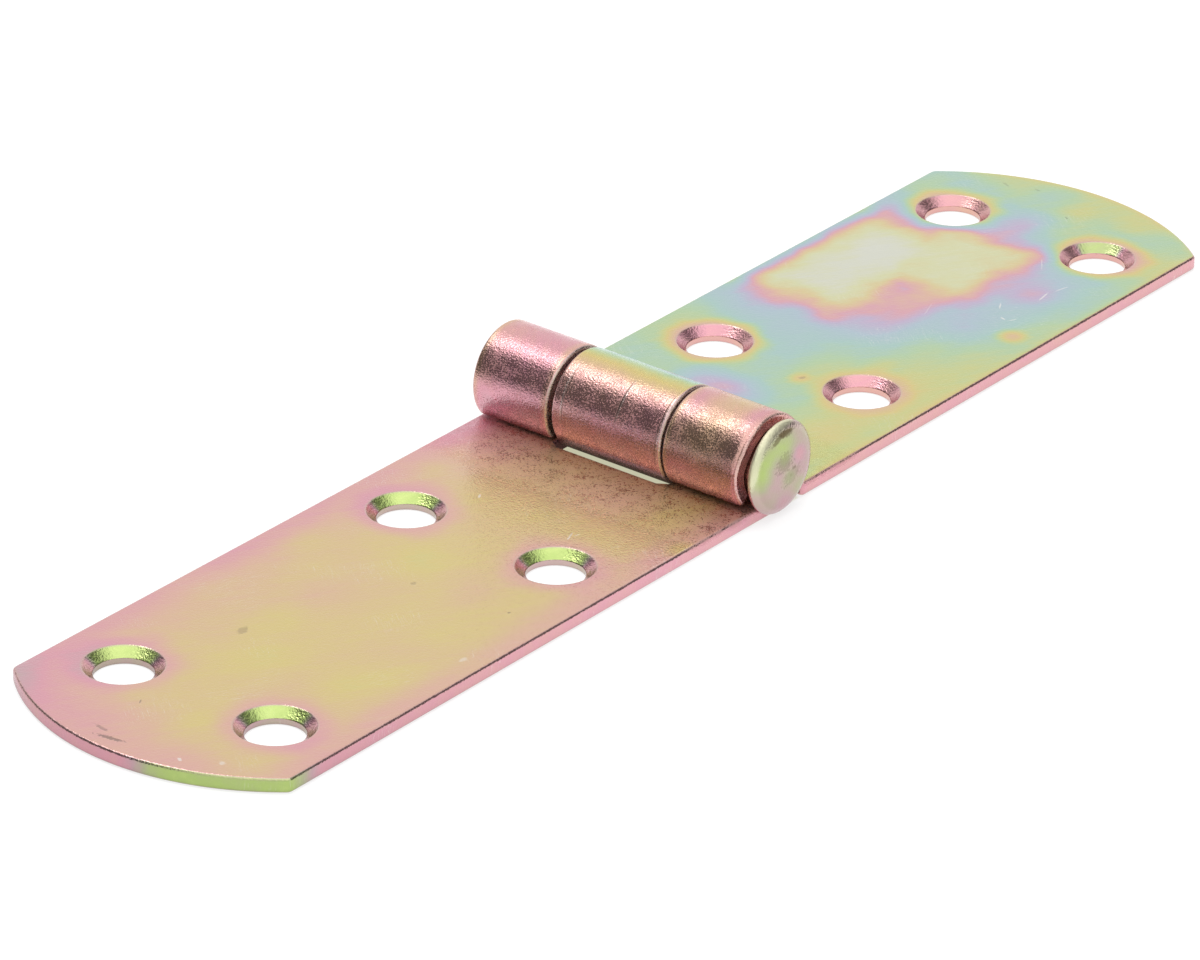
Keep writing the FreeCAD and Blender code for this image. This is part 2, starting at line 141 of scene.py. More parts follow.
class Nodes:
    """A node tree under construction."""

    def __init__(self, tree: bpy.types.NodeTree) -> None:
        """Keep the tree that nodes are added to."""
        self.tree = tree

    @classmethod
    def clean(cls, owner: bpy.types.Material | bpy.types.World) -> "Nodes":
        """Start the tree of a material or a world from nothing.

        Args:
            owner: the material or world.

        Returns:
            Its empty tree.
        """
        owner.use_nodes = True
        owner.node_tree.nodes.clear()
        return cls(owner.node_tree)

    def add(
        self, kind: str, inputs: dict[str | int, object] | None = None, **settings: object
    ) -> bpy.types.Node:
        """Add a node, set its properties and feed its inputs.

        Args:
            kind: the node's type name.
            inputs: values or outputs by the input's name or number.
            settings: properties by name.

        Returns:
            The new node.
        """
        node = self.tree.nodes.new(kind)
        for name, value in settings.items():
            setattr(node, name, value)
        for socket, source in (inputs or {}).items():
            self.feed(node, socket, source)
        return node

    def feed(self, node: bpy.types.Node, socket: str | int, source: object) -> None:
        """Give an input a value, or link it to an output.

        Args:
            node: the node that owns the input.
            socket: the input's name or number.
            source: an output socket, a number, or a tuple.
        """
        target = node.inputs[socket]
        if isinstance(source, Socket):
            self.tree.links.new(source, target)
        else:
            target.default_value = source

    def math(self, operation: str, *sources: object, clamp: bool = False) -> Socket:
        """Add a Math node.

        Args:
            operation: what it works out.
            sources: its values or outputs in order.
            clamp: whether the result is kept from 0 to 1.

        Returns:
            The node's output.
        """
        inputs = dict(enumerate(sources))
        return self.add("ShaderNodeMath", inputs, operation=operation, use_clamp=clamp).outputs[0]

    def vector(self, operation: str, *sources: object) -> Socket:
        """Add a Vector Math node.

        Args:
            operation: what it works out.
            sources: its vectors or outputs in order.

        Returns:
            The output that the operation fills.
        """
        node = self.add("ShaderNodeVectorMath", dict(enumerate(sources)), operation=operation)
        return node.outputs["Value" if operation in ("DOT_PRODUCT", "LENGTH") else "Vector"]

    def turned(self, place: object, angle: float) -> Socket:
        """Turn places about the upright axis, by an angle in radians."""
        inputs = {"Vector": place, "Angle": angle}
        return self.add("ShaderNodeVectorRotate", inputs, rotation_type="Z_AXIS").outputs[0]

    def split(self, place: object) -> bpy.types.bpy_prop_collection:
        """Split places into their three outputs."""
        return self.add("ShaderNodeSeparateXYZ", {0: place}).outputs

    def ramp(
        self, value: object, low: float, high: float, start: float = 0.0, end: float = 1.0
    ) -> Socket:
        """Map a value smoothly from one range to another.

        Args:
            value: the value or output.
            low: value that gives start.
            high: value that gives end.
            start: result at low.
            end: result at high.

        Returns:
            The mapped output.
        """
        inputs = {"Value": value, "From Min": low, "From Max": high, "To Min": start, "To Max": end}
        return self.add("ShaderNodeMapRange", inputs, interpolation_type="SMOOTHSTEP").outputs[0]

    def noise(
        self, place: object, scale: float, detail: float, roughness: float, offset: float
    ) -> Socket:
        """Add a noise pattern centred on zero.

        Args:
            place: coordinates in millimetres.
            scale: waves per millimetre.
            detail: number of finer layers.
            roughness: strength of the finer layers.
            offset: a shift that makes this pattern unlike the others.

        Returns:
            An output from about -0.5 to 0.5.
        """
        node = self.add("ShaderNodeTexNoise", noise_dimensions="4D")
        names = ("Vector", "W", "Scale", "Detail", "Roughness")
        for name, source in zip(names, (place, offset, scale, detail, roughness)):
            self.feed(node, name, source)
        return self.math("SUBTRACT", node.outputs["Fac"], 0.5)

    def mix(self, share: object, first: object, second: object) -> Socket:
        """Mix two colours, or two numbers where the first is a number or its output.

        Args:
            share: how much of the second.
            first: first colour, number or output.
            second: second colour, number or output.

        Returns:
            The mixed output.
        """
        plain = isinstance(first, float) or getattr(first, "type", "") == "VALUE"
        kind, places = ("FLOAT", (2, 3, 0)) if plain else ("RGBA", (6, 7, 2))
        node = self.add("ShaderNodeMix", data_type=kind)
        for socket, source in zip(("Factor", *places[:2]), (share, first, second)):
            self.feed(node, socket, source)
        return node.outputs[places[2]]

    def effect(self, group: bpy.types.NodeTree, **inputs: object) -> bpy.types.bpy_prop_collection:
        """Place a group here, feed its inputs by name, and return its outputs."""
        return self.add("ShaderNodeGroup", inputs, node_tree=group).outputs


class Group(Nodes):
    """A shader node group under construction."""

    def __init__(self, name: str, inputs: dict[str, float | None], outputs: Sequence[str]) -> None:
        """Start the group.

        Args:
            name: the group's name.
            inputs: the default of each input, or None for a place.
            outputs: names of its outputs, numbers but for Colour.
        """
        super().__init__(bpy.data.node_groups.new(name, "ShaderNodeTree"))
        for label, value in inputs.items():
            kind = "NodeSocketVector" if value is None else "NodeSocketFloat"
            socket = self.tree.interface.new_socket(name=label, in_out="INPUT", socket_type=kind)
            if value is not None:
                socket.default_value = value
        for label in outputs:
            kind = "NodeSocketColor" if label == "Colour" else "NodeSocketFloat"
            self.tree.interface.new_socket(name=label, in_out="OUTPUT", socket_type=kind)
        self.given = self.add("NodeGroupInput").outputs
        self.target = self.add("NodeGroupOutput")

    def give(self, **sources: object) -> bpy.types.NodeTree:
        """Feed the group's outputs.

        Args:
            sources: a value or output for each by name.

        Returns:
            The finished group.
        """
        for label, source in sources.items():
            self.feed(self.target, label, source)
        return self.tree


class Effects:
    """The effects that the hinge's finishes share, each one shader node group."""

    def __init__(self) -> None:
        """Build every group once."""
        self.film = self.film_colour()
        self.grain = self.rolling_grain()
        self.rub_and_highlight = self.edge_rub_and_highlight()
        self.scratch = self.fine_scratches()

    def film_colour(self) -> bpy.types.NodeTree:
        """Make the group that turns film thickness into the colour of the metal.

        Returns:
            The group: Thickness, Place and Drift in, Colour out.
        """
        group = Group("passive_film", {"Thickness": 70.0, "Place": None, "Drift": 4.0}, ("Colour",))
        place = group.given["Place"]
        broad = group.noise(place, 0.11, 2.0, 0.5, 3.0)
        small = group.noise(place, 0.6, 3.0, 0.55, 7.0)
        wiped = group.vector("MULTIPLY", group.turned(place, 0.55), (0.12, 1.5, 1.0))
        streaks = group.noise(wiped, 1.0, 2.0, 0.5, 9.0)
        drift = group.math("MULTIPLY_ADD", small, 0.45, broad)
        drift = group.math("MULTIPLY_ADD", streaks, 0.60, drift)
        reach = group.math("MULTIPLY", group.given["Drift"], 2.0)
        thickness = group.math("MULTIPLY_ADD", drift, reach, group.given["Thickness"])
        share = group.math("DIVIDE", thickness, THICKEST, clamp=True)
        ramp = group.add("ShaderNodeValToRGB", {"Fac": share})
        elements = ramp.color_ramp.elements
        elements[0].color = linear(FILM_COLOURS[0][1])
        elements[1].color = linear(FILM_COLOURS[-1][1])
        for step, colour in FILM_COLOURS[1:-1]:
            elements.new(step / THICKEST).color = linear(colour)
        return group.give(Colour=ramp.outputs["Color"])

    def rolling_grain(self) -> bpy.types.NodeTree:
        """Make the group of the rolled grain, and of specks on and beside the knuckles.

        Returns:
            The group: Place in, Height and Specks out.
        """
        group = Group("rolling_grain", {"Place": None}, ("Height", "Specks"))
        along, _, height = group.split(group.given["Place"])
        stretched = group.vector("MULTIPLY", group.given["Place"], (1.0, 0.8, 1.0))
        fine = group.noise(stretched, 8.0, 1.0, 0.5, 1.0)
        coarse = group.noise(stretched, 4.2, 2.0, 0.6, 5.0)
        specks = group.noise(stretched, 6.0, 2.0, 0.6, 41.0)
        crowd = group.noise(stretched, 0.7, 1.0, 0.5, 43.0)
        specks = group.math("MULTIPLY_ADD", crowd, 0.35, specks)
        outer = group.math("MAXIMUM", group.ramp(height, 0.6, 1.2), group.ramp(along, -4.0, -1.0))
        beside = group.math("MULTIPLY", group.ramp(along, -16.0, -12.5), outer)
        flat = group.math("SUBTRACT", beside, group.ramp(along, -2.0, 1.0))
        specks = group.math("MULTIPLY_ADD", flat, 0.11, specks)
        return group.give(
            Height=group.math("MULTIPLY_ADD", fine, 0.4, coarse),
            Specks=group.math("MULTIPLY", group.ramp(specks, 0.015, 0.085), beside),
        )

    def edge_rub_and_highlight(self) -> bpy.types.NodeTree:
        """Make the group that finds where edges are rubbed, and on the pin's head the rim band that
        gets a painted highlight.

        Returns:
            The group: Distance, Place and Reach in, Mask out.
        """
        group = Group("edge_rub_and_highlight", {"Distance": 1.0, "Place": None, "Reach": 0.2}, ("Mask",))
        distance, place, reach = (group.given[name] for name in ("Distance", "Place", "Reach"))
        ragged = group.noise(place, 2.2, 4.0, 0.65, 11.0)
        patchy = group.noise(place, 0.25, 2.0, 0.5, 13.0)
        spread = group.math("MULTIPLY_ADD", ragged, 0.5, group.math("MULTIPLY", patchy, 0.7))
        distance = group.math("SUBTRACT", distance, group.math("MULTIPLY", spread, reach))
        near = group.math("SUBTRACT", 1.0, group.math("DIVIDE", distance, reach), clamp=True)
        return group.give(Mask=group.ramp(near, 0.15, 0.75))

    def fine_scratches(self) -> bpy.types.NodeTree:
        """Make the group of faint handling scratches, in two directions.

        Returns:
            The group: Place in, Mask out.
        """
        group = Group("fine_scratches", {"Place": None}, ("Mask",))
        place = group.given["Place"]
        masks = []
        for turn, pitch, shift in ((0.5, 0.42, 21.0), (-0.9, 0.31, 27.0)):
            drawn = group.vector("MULTIPLY", group.turned(place, turn), (pitch, pitch * 14, pitch))
            line = group.noise(drawn, 1.0, 1.0, 0.4, shift)
            where = group.noise(place, 0.13, 1.0, 0.4, shift + 1)
            thin = group.ramp(group.math("ABSOLUTE", line), 0.0, 0.012, 1.0, 0.0)
            masks.append(group.math("MULTIPLY", thin, group.ramp(where, 0.1, 0.2)))
        return group.give(Mask=group.math("MAXIMUM", *masks))


@dataclass(frozen=True)
class Mark:
    """A mark on the metal: a dent, a speck or a scratch; a few are painted shade, painted highlights
    and a painted dark reflection.

    Args:
        x: distance along the strip from the pin's axis, negative on the flat.
        y: place across the strip.
        wide: half its length.
        tall: half its width.
        turn: its direction, in degrees.
        strength: how much of it shows.
        light: whether it is bright, and not dark.
        height: height over the strip's back of the side that it is on.
        ragged: how uneven its outline is.
        deep: how far it reaches to either side of that height.
    """

    x: float
    y: float
    wide: float
    tall: float
    turn: float
    strength: float
    light: bool = False
    height: float = 1.6
    ragged: float = 1.2
    deep: float = 0.25


def marks(*rows: Sequence[float], **shared: float | bool) -> tuple[Mark, ...]:
    """Make marks from rows of place, half sizes, direction and strength, and what they share."""
    return tuple(Mark(*row, **shared) for row in rows)


@dataclass(frozen=True)
class PassivatedZinc:
    """Yellow-passivated zinc on one of the hinge's pieces.

    Args:
        name: the material's name.
        marks: handling marks on it, and painted shade, painted highlights and painted reflection
            where it has them.
        drift: how far the film's thickness wanders, in its own steps.
        roughness: roughness of the bright surface.
        speckle: how much rougher the specks are.
        grain: height of the grain in millimetres.
        rub_and_highlight_colour: colour of the rubbed edges, and of the painted highlight on the pin
            head's rim.
        rub_and_highlight_share: how much of that colour shows.
        rub_and_highlight_rough: how much rougher the rubbed metal, and the pin head's highlighted
            rim, is.
        dark_colour: colour of dents and dirt, and of painted shade and a painted dark reflection.
        light_colour: colour of scratches, and of the painted highlights along the middle knuckle's
            grooves.
    """

    name: str
    marks: tuple[Mark, ...]
    drift: float = 4.0
    roughness: float = 0.10
    speckle: float = 0.42
    grain: float = 0.048
    rub_and_highlight_colour: Colour = (206, 186, 170)
    rub_and_highlight_share: float = 0.40
    rub_and_highlight_rough: float = 0.08
    dark_colour: Colour = (104, 92, 84)
    light_colour: Colour = (240, 238, 232)

    def build(self, effects: Effects) -> bpy.types.Material:
        """Build the material.

        Args:
            effects: the shared effects.

        Returns:
            The material.
        """
        material = bpy.data.materials.new(self.name)
        nodes = Nodes.clean(material)
        strip, film, rim = (
            nodes.add("ShaderNodeAttribute", attribute_name=name).outputs[output]
            for name, output in (("strip_place", "Vector"), ("film", "Fac"), ("rim", "Fac"))
        )
        colour = nodes.effect(effects.film, Thickness=film, Place=strip, Drift=self.drift)["Colour"]
        grain = nodes.effect(effects.grain, Place=strip)
        rub_and_highlight = nodes.effect(effects.rub_and_highlight, Distance=rim, Place=strip, Reach=RUB_AND_HIGHLIGHT_REACH)["Mask"]
        scratch = nodes.effect(effects.scratch, Place=strip)["Mask"]
        found = nodes.effect(self.mark_group(), Place=strip)
        scratch = nodes.math("MULTIPLY", scratch, SCRATCH_SHARE)
        # Light marks: scratches, and the painted highlights along the middle knuckle's grooves.
        scratch = nodes.math("MAXIMUM", scratch, found["Light"])

        # Pale band: rubbed edges on the leaves, and a painted highlight on the pin head's lit rim.
        rubbed_and_highlighted = nodes.math("MULTIPLY", rub_and_highlight, self.rub_and_highlight_share)
        colour = nodes.mix(rubbed_and_highlighted, colour, linear(self.rub_and_highlight_colour))
        # Dark marks: dents and dirt, and also painted shade and the pin head's painted dark
        # reflection.
        colour = nodes.mix(found["Dark"], colour, linear(self.dark_colour))
        colour = nodes.mix(scratch, colour, linear(self.light_colour))

        uneven = nodes.noise(strip, 0.22, 3.0, 0.6, 17.0)
        roughness = nodes.math("MULTIPLY_ADD", uneven, 0.10, self.roughness)
        roughness = nodes.math("MULTIPLY_ADD", rub_and_highlight, self.rub_and_highlight_rough, roughness)
        roughness = nodes.math("MULTIPLY_ADD", grain["Specks"], self.speckle, roughness)

        height = nodes.math("MULTIPLY_ADD", found["Dark"], -MARK_DEPTH, grain["Height"])
        relief = {"Strength": 1.0, "Distance": self.grain * MM, "Height": height}
        bump = nodes.add("ShaderNodeBump", relief)
        shader = nodes.add("ShaderNodeBsdfPrincipled")
        nodes.feed(shader, "Base Color", colour)
        nodes.feed(shader, "Metallic", METALLIC)
        nodes.feed(shader, "Roughness", roughness)
        nodes.feed(shader, "Normal", bump.outputs["Normal"])
        nodes.add("ShaderNodeOutputMaterial", {"Surface": shader.outputs["BSDF"]})
        return material

    def mark_group(self) -> bpy.types.NodeTree:
        """Make the group that finds this piece's marks: handling marks, and any painted shade,
        highlights and reflection.

        Returns:
            The group: Place in, Dark and Light out.
        """
        group = Group(f"{self.name}_marks", {"Place": None}, ("Dark", "Light"))
        place = group.given["Place"]
        ragged = group.noise(place, 3.0, 2.0, 0.6, 31.0)
        totals: dict[bool, object] = {True: 0.0, False: 0.0}
        for mark in self.marks:
            beside = group.vector("SUBTRACT", place, (mark.x, mark.y, mark.height))
            lined_up = group.turned(beside, -math.radians(mark.turn))
            sizes = (1 / mark.wide, 1 / mark.tall, 1 / mark.deep)
            sized = group.vector("MULTIPLY", lined_up, sizes)
            away = group.math("MULTIPLY_ADD", ragged, mark.ragged, group.vector("LENGTH", sized))
            found = group.ramp(away, 0.5, 1.0, mark.strength, 0.0)
            totals[mark.light] = group.math("MAXIMUM", totals[mark.light], found)
        return group.give(Dark=totals[False], Light=totals[True])


def add_object(name: str, data: bpy.types.ID) -> bpy.types.Object:
    """Put a new object in the scene.

    Args:
        name: its name.
        data: its mesh, camera or light.

    Returns:
        The object.
    """
    made = bpy.data.objects.new(name, data)
    bpy.context.scene.collection.objects.link(made)
    return made


@dataclass
class Piece:
    """One piece of the hinge: what it stands for, and its finish.

    Args:
        node: the CAD node that it stands for.
        body: the body that it rides on.
        slot: the record's material slot; not used.
        finish: its finish.
    """

    node: str
    body: str
    slot: str
    finish: PassivatedZinc

    def stand_in(self, piece: bpy.types.Object) -> None:
        """Let a finished piece stand in for its CAD node.

        Args:
            piece: the finished piece.
        """
        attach(piece, self.body)
        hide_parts(self.node)

    def dressed(
        self, name: str, effects: Effects, points: np.ndarray, faces: Sequence[Sequence[int]],
        places: np.ndarray, film: np.ndarray, rim: np.ndarray,
    ) -> bpy.types.Mesh:
        """Make a closed mesh that carries what its finish needs at each point.

        Args:
            name: the mesh's name.
            effects: the shared effects.
            points: its points, in millimetres.
            faces: corners of each face.
            places: where the finish takes each point to be, in millimetres.
            film: film thickness at each point.
            rim: distance from a rounded edge at each point.

        Returns:
            The mesh, smooth, with its faces outwards.
        """
        mesh = bpy.data.meshes.new(name)
        mesh.from_pydata([tuple(p * MM) for p in points], [], faces)
        work = bmesh.new()
        work.from_mesh(mesh)
        bmesh.ops.recalc_face_normals(work, faces=work.faces)
        work.to_mesh(mesh)
        work.free()
        wanted = (
            ("film", "FLOAT", "value", film),
            ("rim", "FLOAT", "value", rim),
            ("strip_place", "FLOAT_VECTOR", "vector", places),
        )
        for label, kind, part, values in wanted:
            attribute = mesh.attributes.new(label, kind, "POINT")
            attribute.data.foreach_set(part, np.asarray(values, dtype=np.float32).ravel())
        mesh.shade_smooth()
        mesh.materials.append(self.finish.build(effects))
        return mesh


@dataclass
class Skin:
    """The strip's skin while it is still flat.

    Args:
        points: distance along the strip, place across it, and height over the back.
        patches: which part of the skin each point belongs to.
        faces: corners of each face.
    """

    points: list[Place] = field(default_factory=list)
    patches: list[int] = field(default_factory=list)
    faces: list[tuple[int, ...]] = field(default_factory=list)

    def add_loop(self, loop: Iterable[Point], height: float, patch: Patch) -> list[int]:
        """Add a row of points at one height.

        Args:
            loop: the points in plan.
            height: height over the back.
            patch: part of the skin.

        Returns:
            The points' numbers.
        """
        start = len(self.points)
        self.points += [(float(along), float(across), height) for along, across in loop]
        numbers = list(range(start, len(self.points)))
        self.patches += [patch.value] * len(numbers)
        return numbers

    def bridge(self, rows: Sequence[Sequence[int]]) -> None:
        """Join closed rows of points, each to the next, with faces.

        Args:
            rows: the rows' point numbers.
        """
        for lower, upper in zip(rows, rows[1:]):
            for k in range(len(lower)):
                following = (k + 1) % len(lower)
                self.faces.append((lower[k], lower[following], upper[following], upper[k]))


@dataclass
class Survey:
    """What is known at each point of a leaf's skin when its film is worked out.

    Args:
        along: distance along the strip from the pin's axis, negative on the flat.
        x: place along the finished hinge while the strip is flat.
        y: place along the pin on the finished hinge.
        patch: part of the skin.
        rim: distance from the strip's outline.
        sink: distance outside the nearest countersink's mouth.
        spin: direction from that countersink's middle, in degrees, on the finished hinge.
        hole: number of that countersink.
    """

    along: np.ndarray
    x: np.ndarray
    y: np.ndarray
    patch: np.ndarray
    rim: np.ndarray
    sink: np.ndarray
    spin: np.ndarray
    hole: np.ndarray

    def facing(self, direction: float, half: float) -> np.ndarray:
        """Find the side of the countersinks that lies in one direction, where the lit side's painted
        light goes.

        Args:
            direction: the direction from the middle, in degrees.
            half: half the side's spread, in degrees.

        Returns:
            One in that direction, nought beyond the spread.
        """
        off = np.abs((self.spin - direction + 180) % 360 - 180)
        return 1 - smooth_step(half * 0.6, half, off)


@dataclass
class StripLeaf(Piece):
    """One leaf of the hinge: a strip, punched, countersunk and rolled up round the pin.

    The strip is laid out with its tip at negative distances from the pin's axis. The part at
    positive distances is rolled up. Lengths are in millimetres.

    Args:
        turned: whether it is turned half round on the finished hinge.
        reach: from the pin's axis to the tip.
        width: width of the strip.
        thickness: thickness of the strip.
        tip_radius: radius of the curved tip.
        corner_radius: rounding where the tip meets a side.
        roll_radius: outer radius of the knuckles.
        roll_length: length of strip that is rolled up.
        notch: depth of the notches beside the knuckles.
        first_hole: from the pin's axis to the nearer pair of holes.
        hole_pitch: between the two pairs.
        row_pitch: between the two holes of a pair.
        hole_radius: radius of a screw hole.
        sink_radius: radius of a countersink's mouth.
        sink_depth: depth of a countersink.
        back_round: rounding of the edges on the back.
        face_round: rounding of the edges on the face.
        edge_lip: flat margin beside a rounded edge.
        flat_step: mesh spacing on the flat.
        roll_step: mesh spacing on the part that is rolled up.
        hole_sides: sides of a hole.
    """

    turned: bool
    reach: float = 82.0
    width: float = 35.0
    thickness: float = 1.6
    tip_radius: float = 26.6
    corner_radius: float = 0.9
    roll_radius: float = 5.35
    roll_length: float = 29.2
    notch: float = 4.65
    first_hole: float = 25.5
    hole_pitch: float = 42.8
    row_pitch: float = 19.15
    hole_radius: float = 3.0
    sink_radius: float = 4.1
    sink_depth: float = 0.923
    back_round: float = 0.36
    face_round: float = 0.34
    edge_lip: float = 0.06
    flat_step: float = 0.7
    roll_step: float = 0.2
    hole_sides: int = 72

    def shoulders(self) -> list[Place]:
        """List the outline's corners beside the knuckles, with their radii."""
        raise NotImplementedError

    def film(self, survey: Survey) -> np.ndarray:
        """Work out the film's thickness at each surveyed point."""
        raise NotImplementedError

    def underside(self, survey: Survey) -> np.ndarray:
        """Work out the film's thickness on the underside: gold, pinker towards the edges.

        Args:
            survey: what is known at each point.

        Returns:
            The film's thickness at each point.
        """
        x, y = survey.x, survey.y
        film = 74.0 + 7.0 * wander(x, y, 14.0, 21.0) + 3.0 * wander(x, y, 5.0, 22.0)
        film += 8.0 * (1 - smooth_step(0.0, 3.5, survey.rim))
        return film + 8.0 * (1 - smooth_step(-1.0, 2.0, survey.sink))

    def joined(
        self, survey: Survey, face: np.ndarray, roll: np.ndarray, bend: Point,
        sink: np.ndarray, bore: float, wall: np.ndarray,
    ) -> np.ndarray:
        """Join the film's thickness from the rules for each part of the skin.

        Args:
            survey: what is known at each point.
            face: thickness on the face.
            roll: thickness on the knuckles.
            bend: where along the strip the one gives way to the other.
            sink: thickness in the countersinks.
            bore: thickness in the screw holes.
            wall: thickness on the strip's cut edges.

        Returns:
            The film's thickness at each point.
        """
        film = np.where(survey.patch == Patch.BACK.value, self.underside(survey), face)
        rolled = smooth_step(*bend, survey.along)
        film = film * (1 - rolled) + rolled * roll
        film = np.where(survey.patch == Patch.SINK.value, sink, film)
        film = np.where(survey.patch == Patch.BORE.value, bore, film)
        return np.where((survey.patch == Patch.WALL.value) & (survey.rim < WALL_RIM), wall, film)

    def holes(self) -> list[Point]:
        """Places of the screw holes on the strip."""
        distances = (self.first_hole, self.first_hole + self.hole_pitch)
        return [(-away, side * self.row_pitch / 2) for away in distances for side in (-1, 1)]

    def corners(self) -> list[Place]:
        """List the strip's outline as corners with radii, the curved tip as short chords.

        Returns:
            Corners with the strip's inside to their left.
        """
        half = self.width / 2
        middle = self.tip_radius - self.reach
        rise = half - self.corner_radius
        turn = math.asin(rise / (self.tip_radius - self.corner_radius))
        corner_x = middle - (self.tip_radius - self.corner_radius) * math.cos(turn)
        arcs = (
            (corner_x, rise, self.corner_radius, math.pi / 2, math.pi - turn, 9),
            (middle, 0.0, self.tip_radius, math.pi - turn, math.pi + turn, 64),
            (corner_x, -rise, self.corner_radius, math.pi + turn, 3 * math.pi / 2, 9),
        )
        tip: list[Place] = [(corner_x, half, 0.0)]
        for x, y, radius, start, end, steps in arcs:
            for k in range(1, steps + 1):
                angle = start + (end - start) * k / steps
                tip.append((x + radius * math.cos(angle), y + radius * math.sin(angle), 0.0))
        return tip + self.shoulders()

    def outline(self) -> list[Point]:
        """Draw the strip's outline as a closed row of closely spaced points.

        Returns:
            The points, with the strip to their left.
        """
        corners = self.corners()
        arc_steps = 6
        drawn: list[Point] = []
        for k, (x, y, radius) in enumerate(corners):
            if radius == 0:
                drawn.append((x, y))
                continue
            here = Vector((x, y))
            before = (Vector(corners[k - 1][:2]) - here).normalized()
            after = (Vector(corners[(k + 1) % len(corners)][:2]) - here).normalized()
            half_angle = before.angle(after) / 2
            centre = here + (before + after).normalized() * radius / math.sin(half_angle)
            start = (here + before * radius / math.tan(half_angle) - centre).normalized()
            end = (here + after * radius / math.tan(half_angle) - centre).normalized()
            for step in range(arc_steps + 1):
                spoke = start * (1 - step / arc_steps) + end * (step / arc_steps)
                drawn.append(tuple(centre + spoke.normalized() * radius))
        filled: list[Point] = []
        for (x, y), (nx, ny) in zip(drawn, drawn[1:] + drawn[:1]):
            step = self.roll_step if max(x, nx) > ROLL_START else self.flat_step
            pieces = max(1, round(math.hypot(nx - x, ny - y) / step))
            run_x, run_y = nx - x, ny - y
            filled += [(x + run_x * p / pieces, y + run_y * p / pieces) for p in range(pieces)]
        return filled

    @staticmethod
    def inset(loop: Sequence[Point], distance: float) -> list[Point]:
        """Move a closed row of points inwards, keeping its sides parallel.

        Args:
            loop: points with the inside to their left.
            distance: how far inwards.

        Returns:
            The moved points.
        """
        points = np.array(loop)
        along = np.roll(points, -1, axis=0) - points
        along /= np.linalg.norm(along, axis=1)[:, None]
        inward = np.stack([-along[:, 1], along[:, 0]], 1)
        before = np.roll(inward, 1, axis=0)
        share = 1 + (inward * before).sum(1)
        return [tuple(p) for p in points + (inward + before) / share[:, None] * distance]

    def edge_profile(self) -> list[Point]:
        """List the inset and height of each row round the strip's edge, from back to face.

        Returns:
            The rows.
        """
        low, high, top = self.back_round, self.face_round, self.thickness
        rows = [(low + self.edge_lip, 0.0)]
        rows += [(low * (1 - math.sin(a)), low * (1 - math.cos(a))) for a in quarter_turn(6)]
        rows += [(0.0, 0.60), (0.0, 1.05)]
        rows += [
            (high * (1 - math.cos(a)), top - high * (1 - math.sin(a))) for a in quarter_turn(5)
        ]
        return rows + [(high + self.edge_lip, top)]

    def hole_profile(self) -> list[tuple[float, float, Patch]]:
        """List the radius, height and kind of each row of a screw hole, from face to back.

        Returns:
            The rows.
        """
        rim, bore, top = self.sink_radius, self.hole_radius, self.thickness
        land = top - self.sink_depth
        face, sink, wall, back = Patch.FACE, Patch.SINK, Patch.BORE, Patch.BACK
        return [
            (rim + 0.16, top, face), (rim + 0.08, top, face), (rim + 0.02, top - 0.012, face),
            (rim - 0.05, top - 0.055, sink), (rim - 0.12, top - 0.12, sink),
            (bore + 0.12, land + 0.10, sink), (bore + 0.04, land + 0.04, sink),
            (bore, land - 0.02, wall), (bore, land - 0.07, wall), (bore, 0.20, wall),
            (bore + 0.02, 0.10, wall), (bore + 0.08, 0.02, wall),
            (bore + 0.15, 0.0, back), (bore + 0.22, 0.0, back),
        ]

    def ring(self, centre: Point, radius: float) -> list[Point]:
        """Draw a circle as a closed row of points."""
        turns = [2 * math.pi * k / self.hole_sides for k in range(self.hole_sides)]
        return [(centre[0] + radius * math.cos(a), centre[1] + radius * math.sin(a)) for a in turns]

    @staticmethod
    def clearance(points: np.ndarray, loop: Sequence[Point]) -> np.ndarray:
        """Measure how far inside a closed row each point lies, negative outside.

        Args:
            points: places in plan.
            loop: the closed row.

        Returns:
            Signed distances.
        """
        starts = np.array(loop)
        ends = np.roll(starts, -1, axis=0)
        runs = ends - starts
        lengths = (runs**2).sum(1)
        result = np.empty(len(points))
        batch = 1000
        for low in range(0, len(points), batch):
            some = points[low : low + batch]
            rel_x = some[:, :1] - starts[:, 0]
            rel_y = some[:, 1:] - starts[:, 1]
            share = np.clip((rel_x * runs[:, 0] + rel_y * runs[:, 1]) / lengths, 0, 1)
            gaps = np.hypot(rel_x - share * runs[:, 0], rel_y - share * runs[:, 1]).min(1)
            rising = (rel_y >= 0) != (some[:, 1:] >= ends[:, 1])
            with np.errstate(divide="ignore", invalid="ignore"):
                crossed = rel_x < rel_y * (runs[:, 0] / runs[:, 1])
            inside = ((rising & crossed).sum(1) % 2).astype(bool)
            result[low : low + batch] = np.where(inside, gaps, -gaps)
        return result

    def grid(self, outline: Sequence[Point]) -> np.ndarray:
        """Lay out the points that fill one side of the strip, clear of its edges and holes.

        Args:
            outline: the strip's outline.

        Returns:
            The points in plan.
        """
        edge_margin, roll_margin, hole_margin = 0.75, 0.55, 0.5
        flat = np.arange(-self.reach + 0.5, ROLL_START, self.flat_step)
        rolled = np.arange(ROLL_START, self.roll_length, self.roll_step)
        across = np.arange(-self.width / 2 + 0.5, self.width / 2, self.flat_step)
        along = np.concatenate([flat, rolled])
        grid = np.stack(np.meshgrid(along, across, indexing="ij"), -1).reshape(-1, 2)
        margin = np.where(grid[:, 0] > ROLL_START, roll_margin, edge_margin)
        wanted = self.clearance(grid, outline) > margin
        for centre in self.holes():
            wanted &= np.hypot(*(grid - np.array(centre)).T) > self.sink_radius + hole_margin
        return grid[wanted]

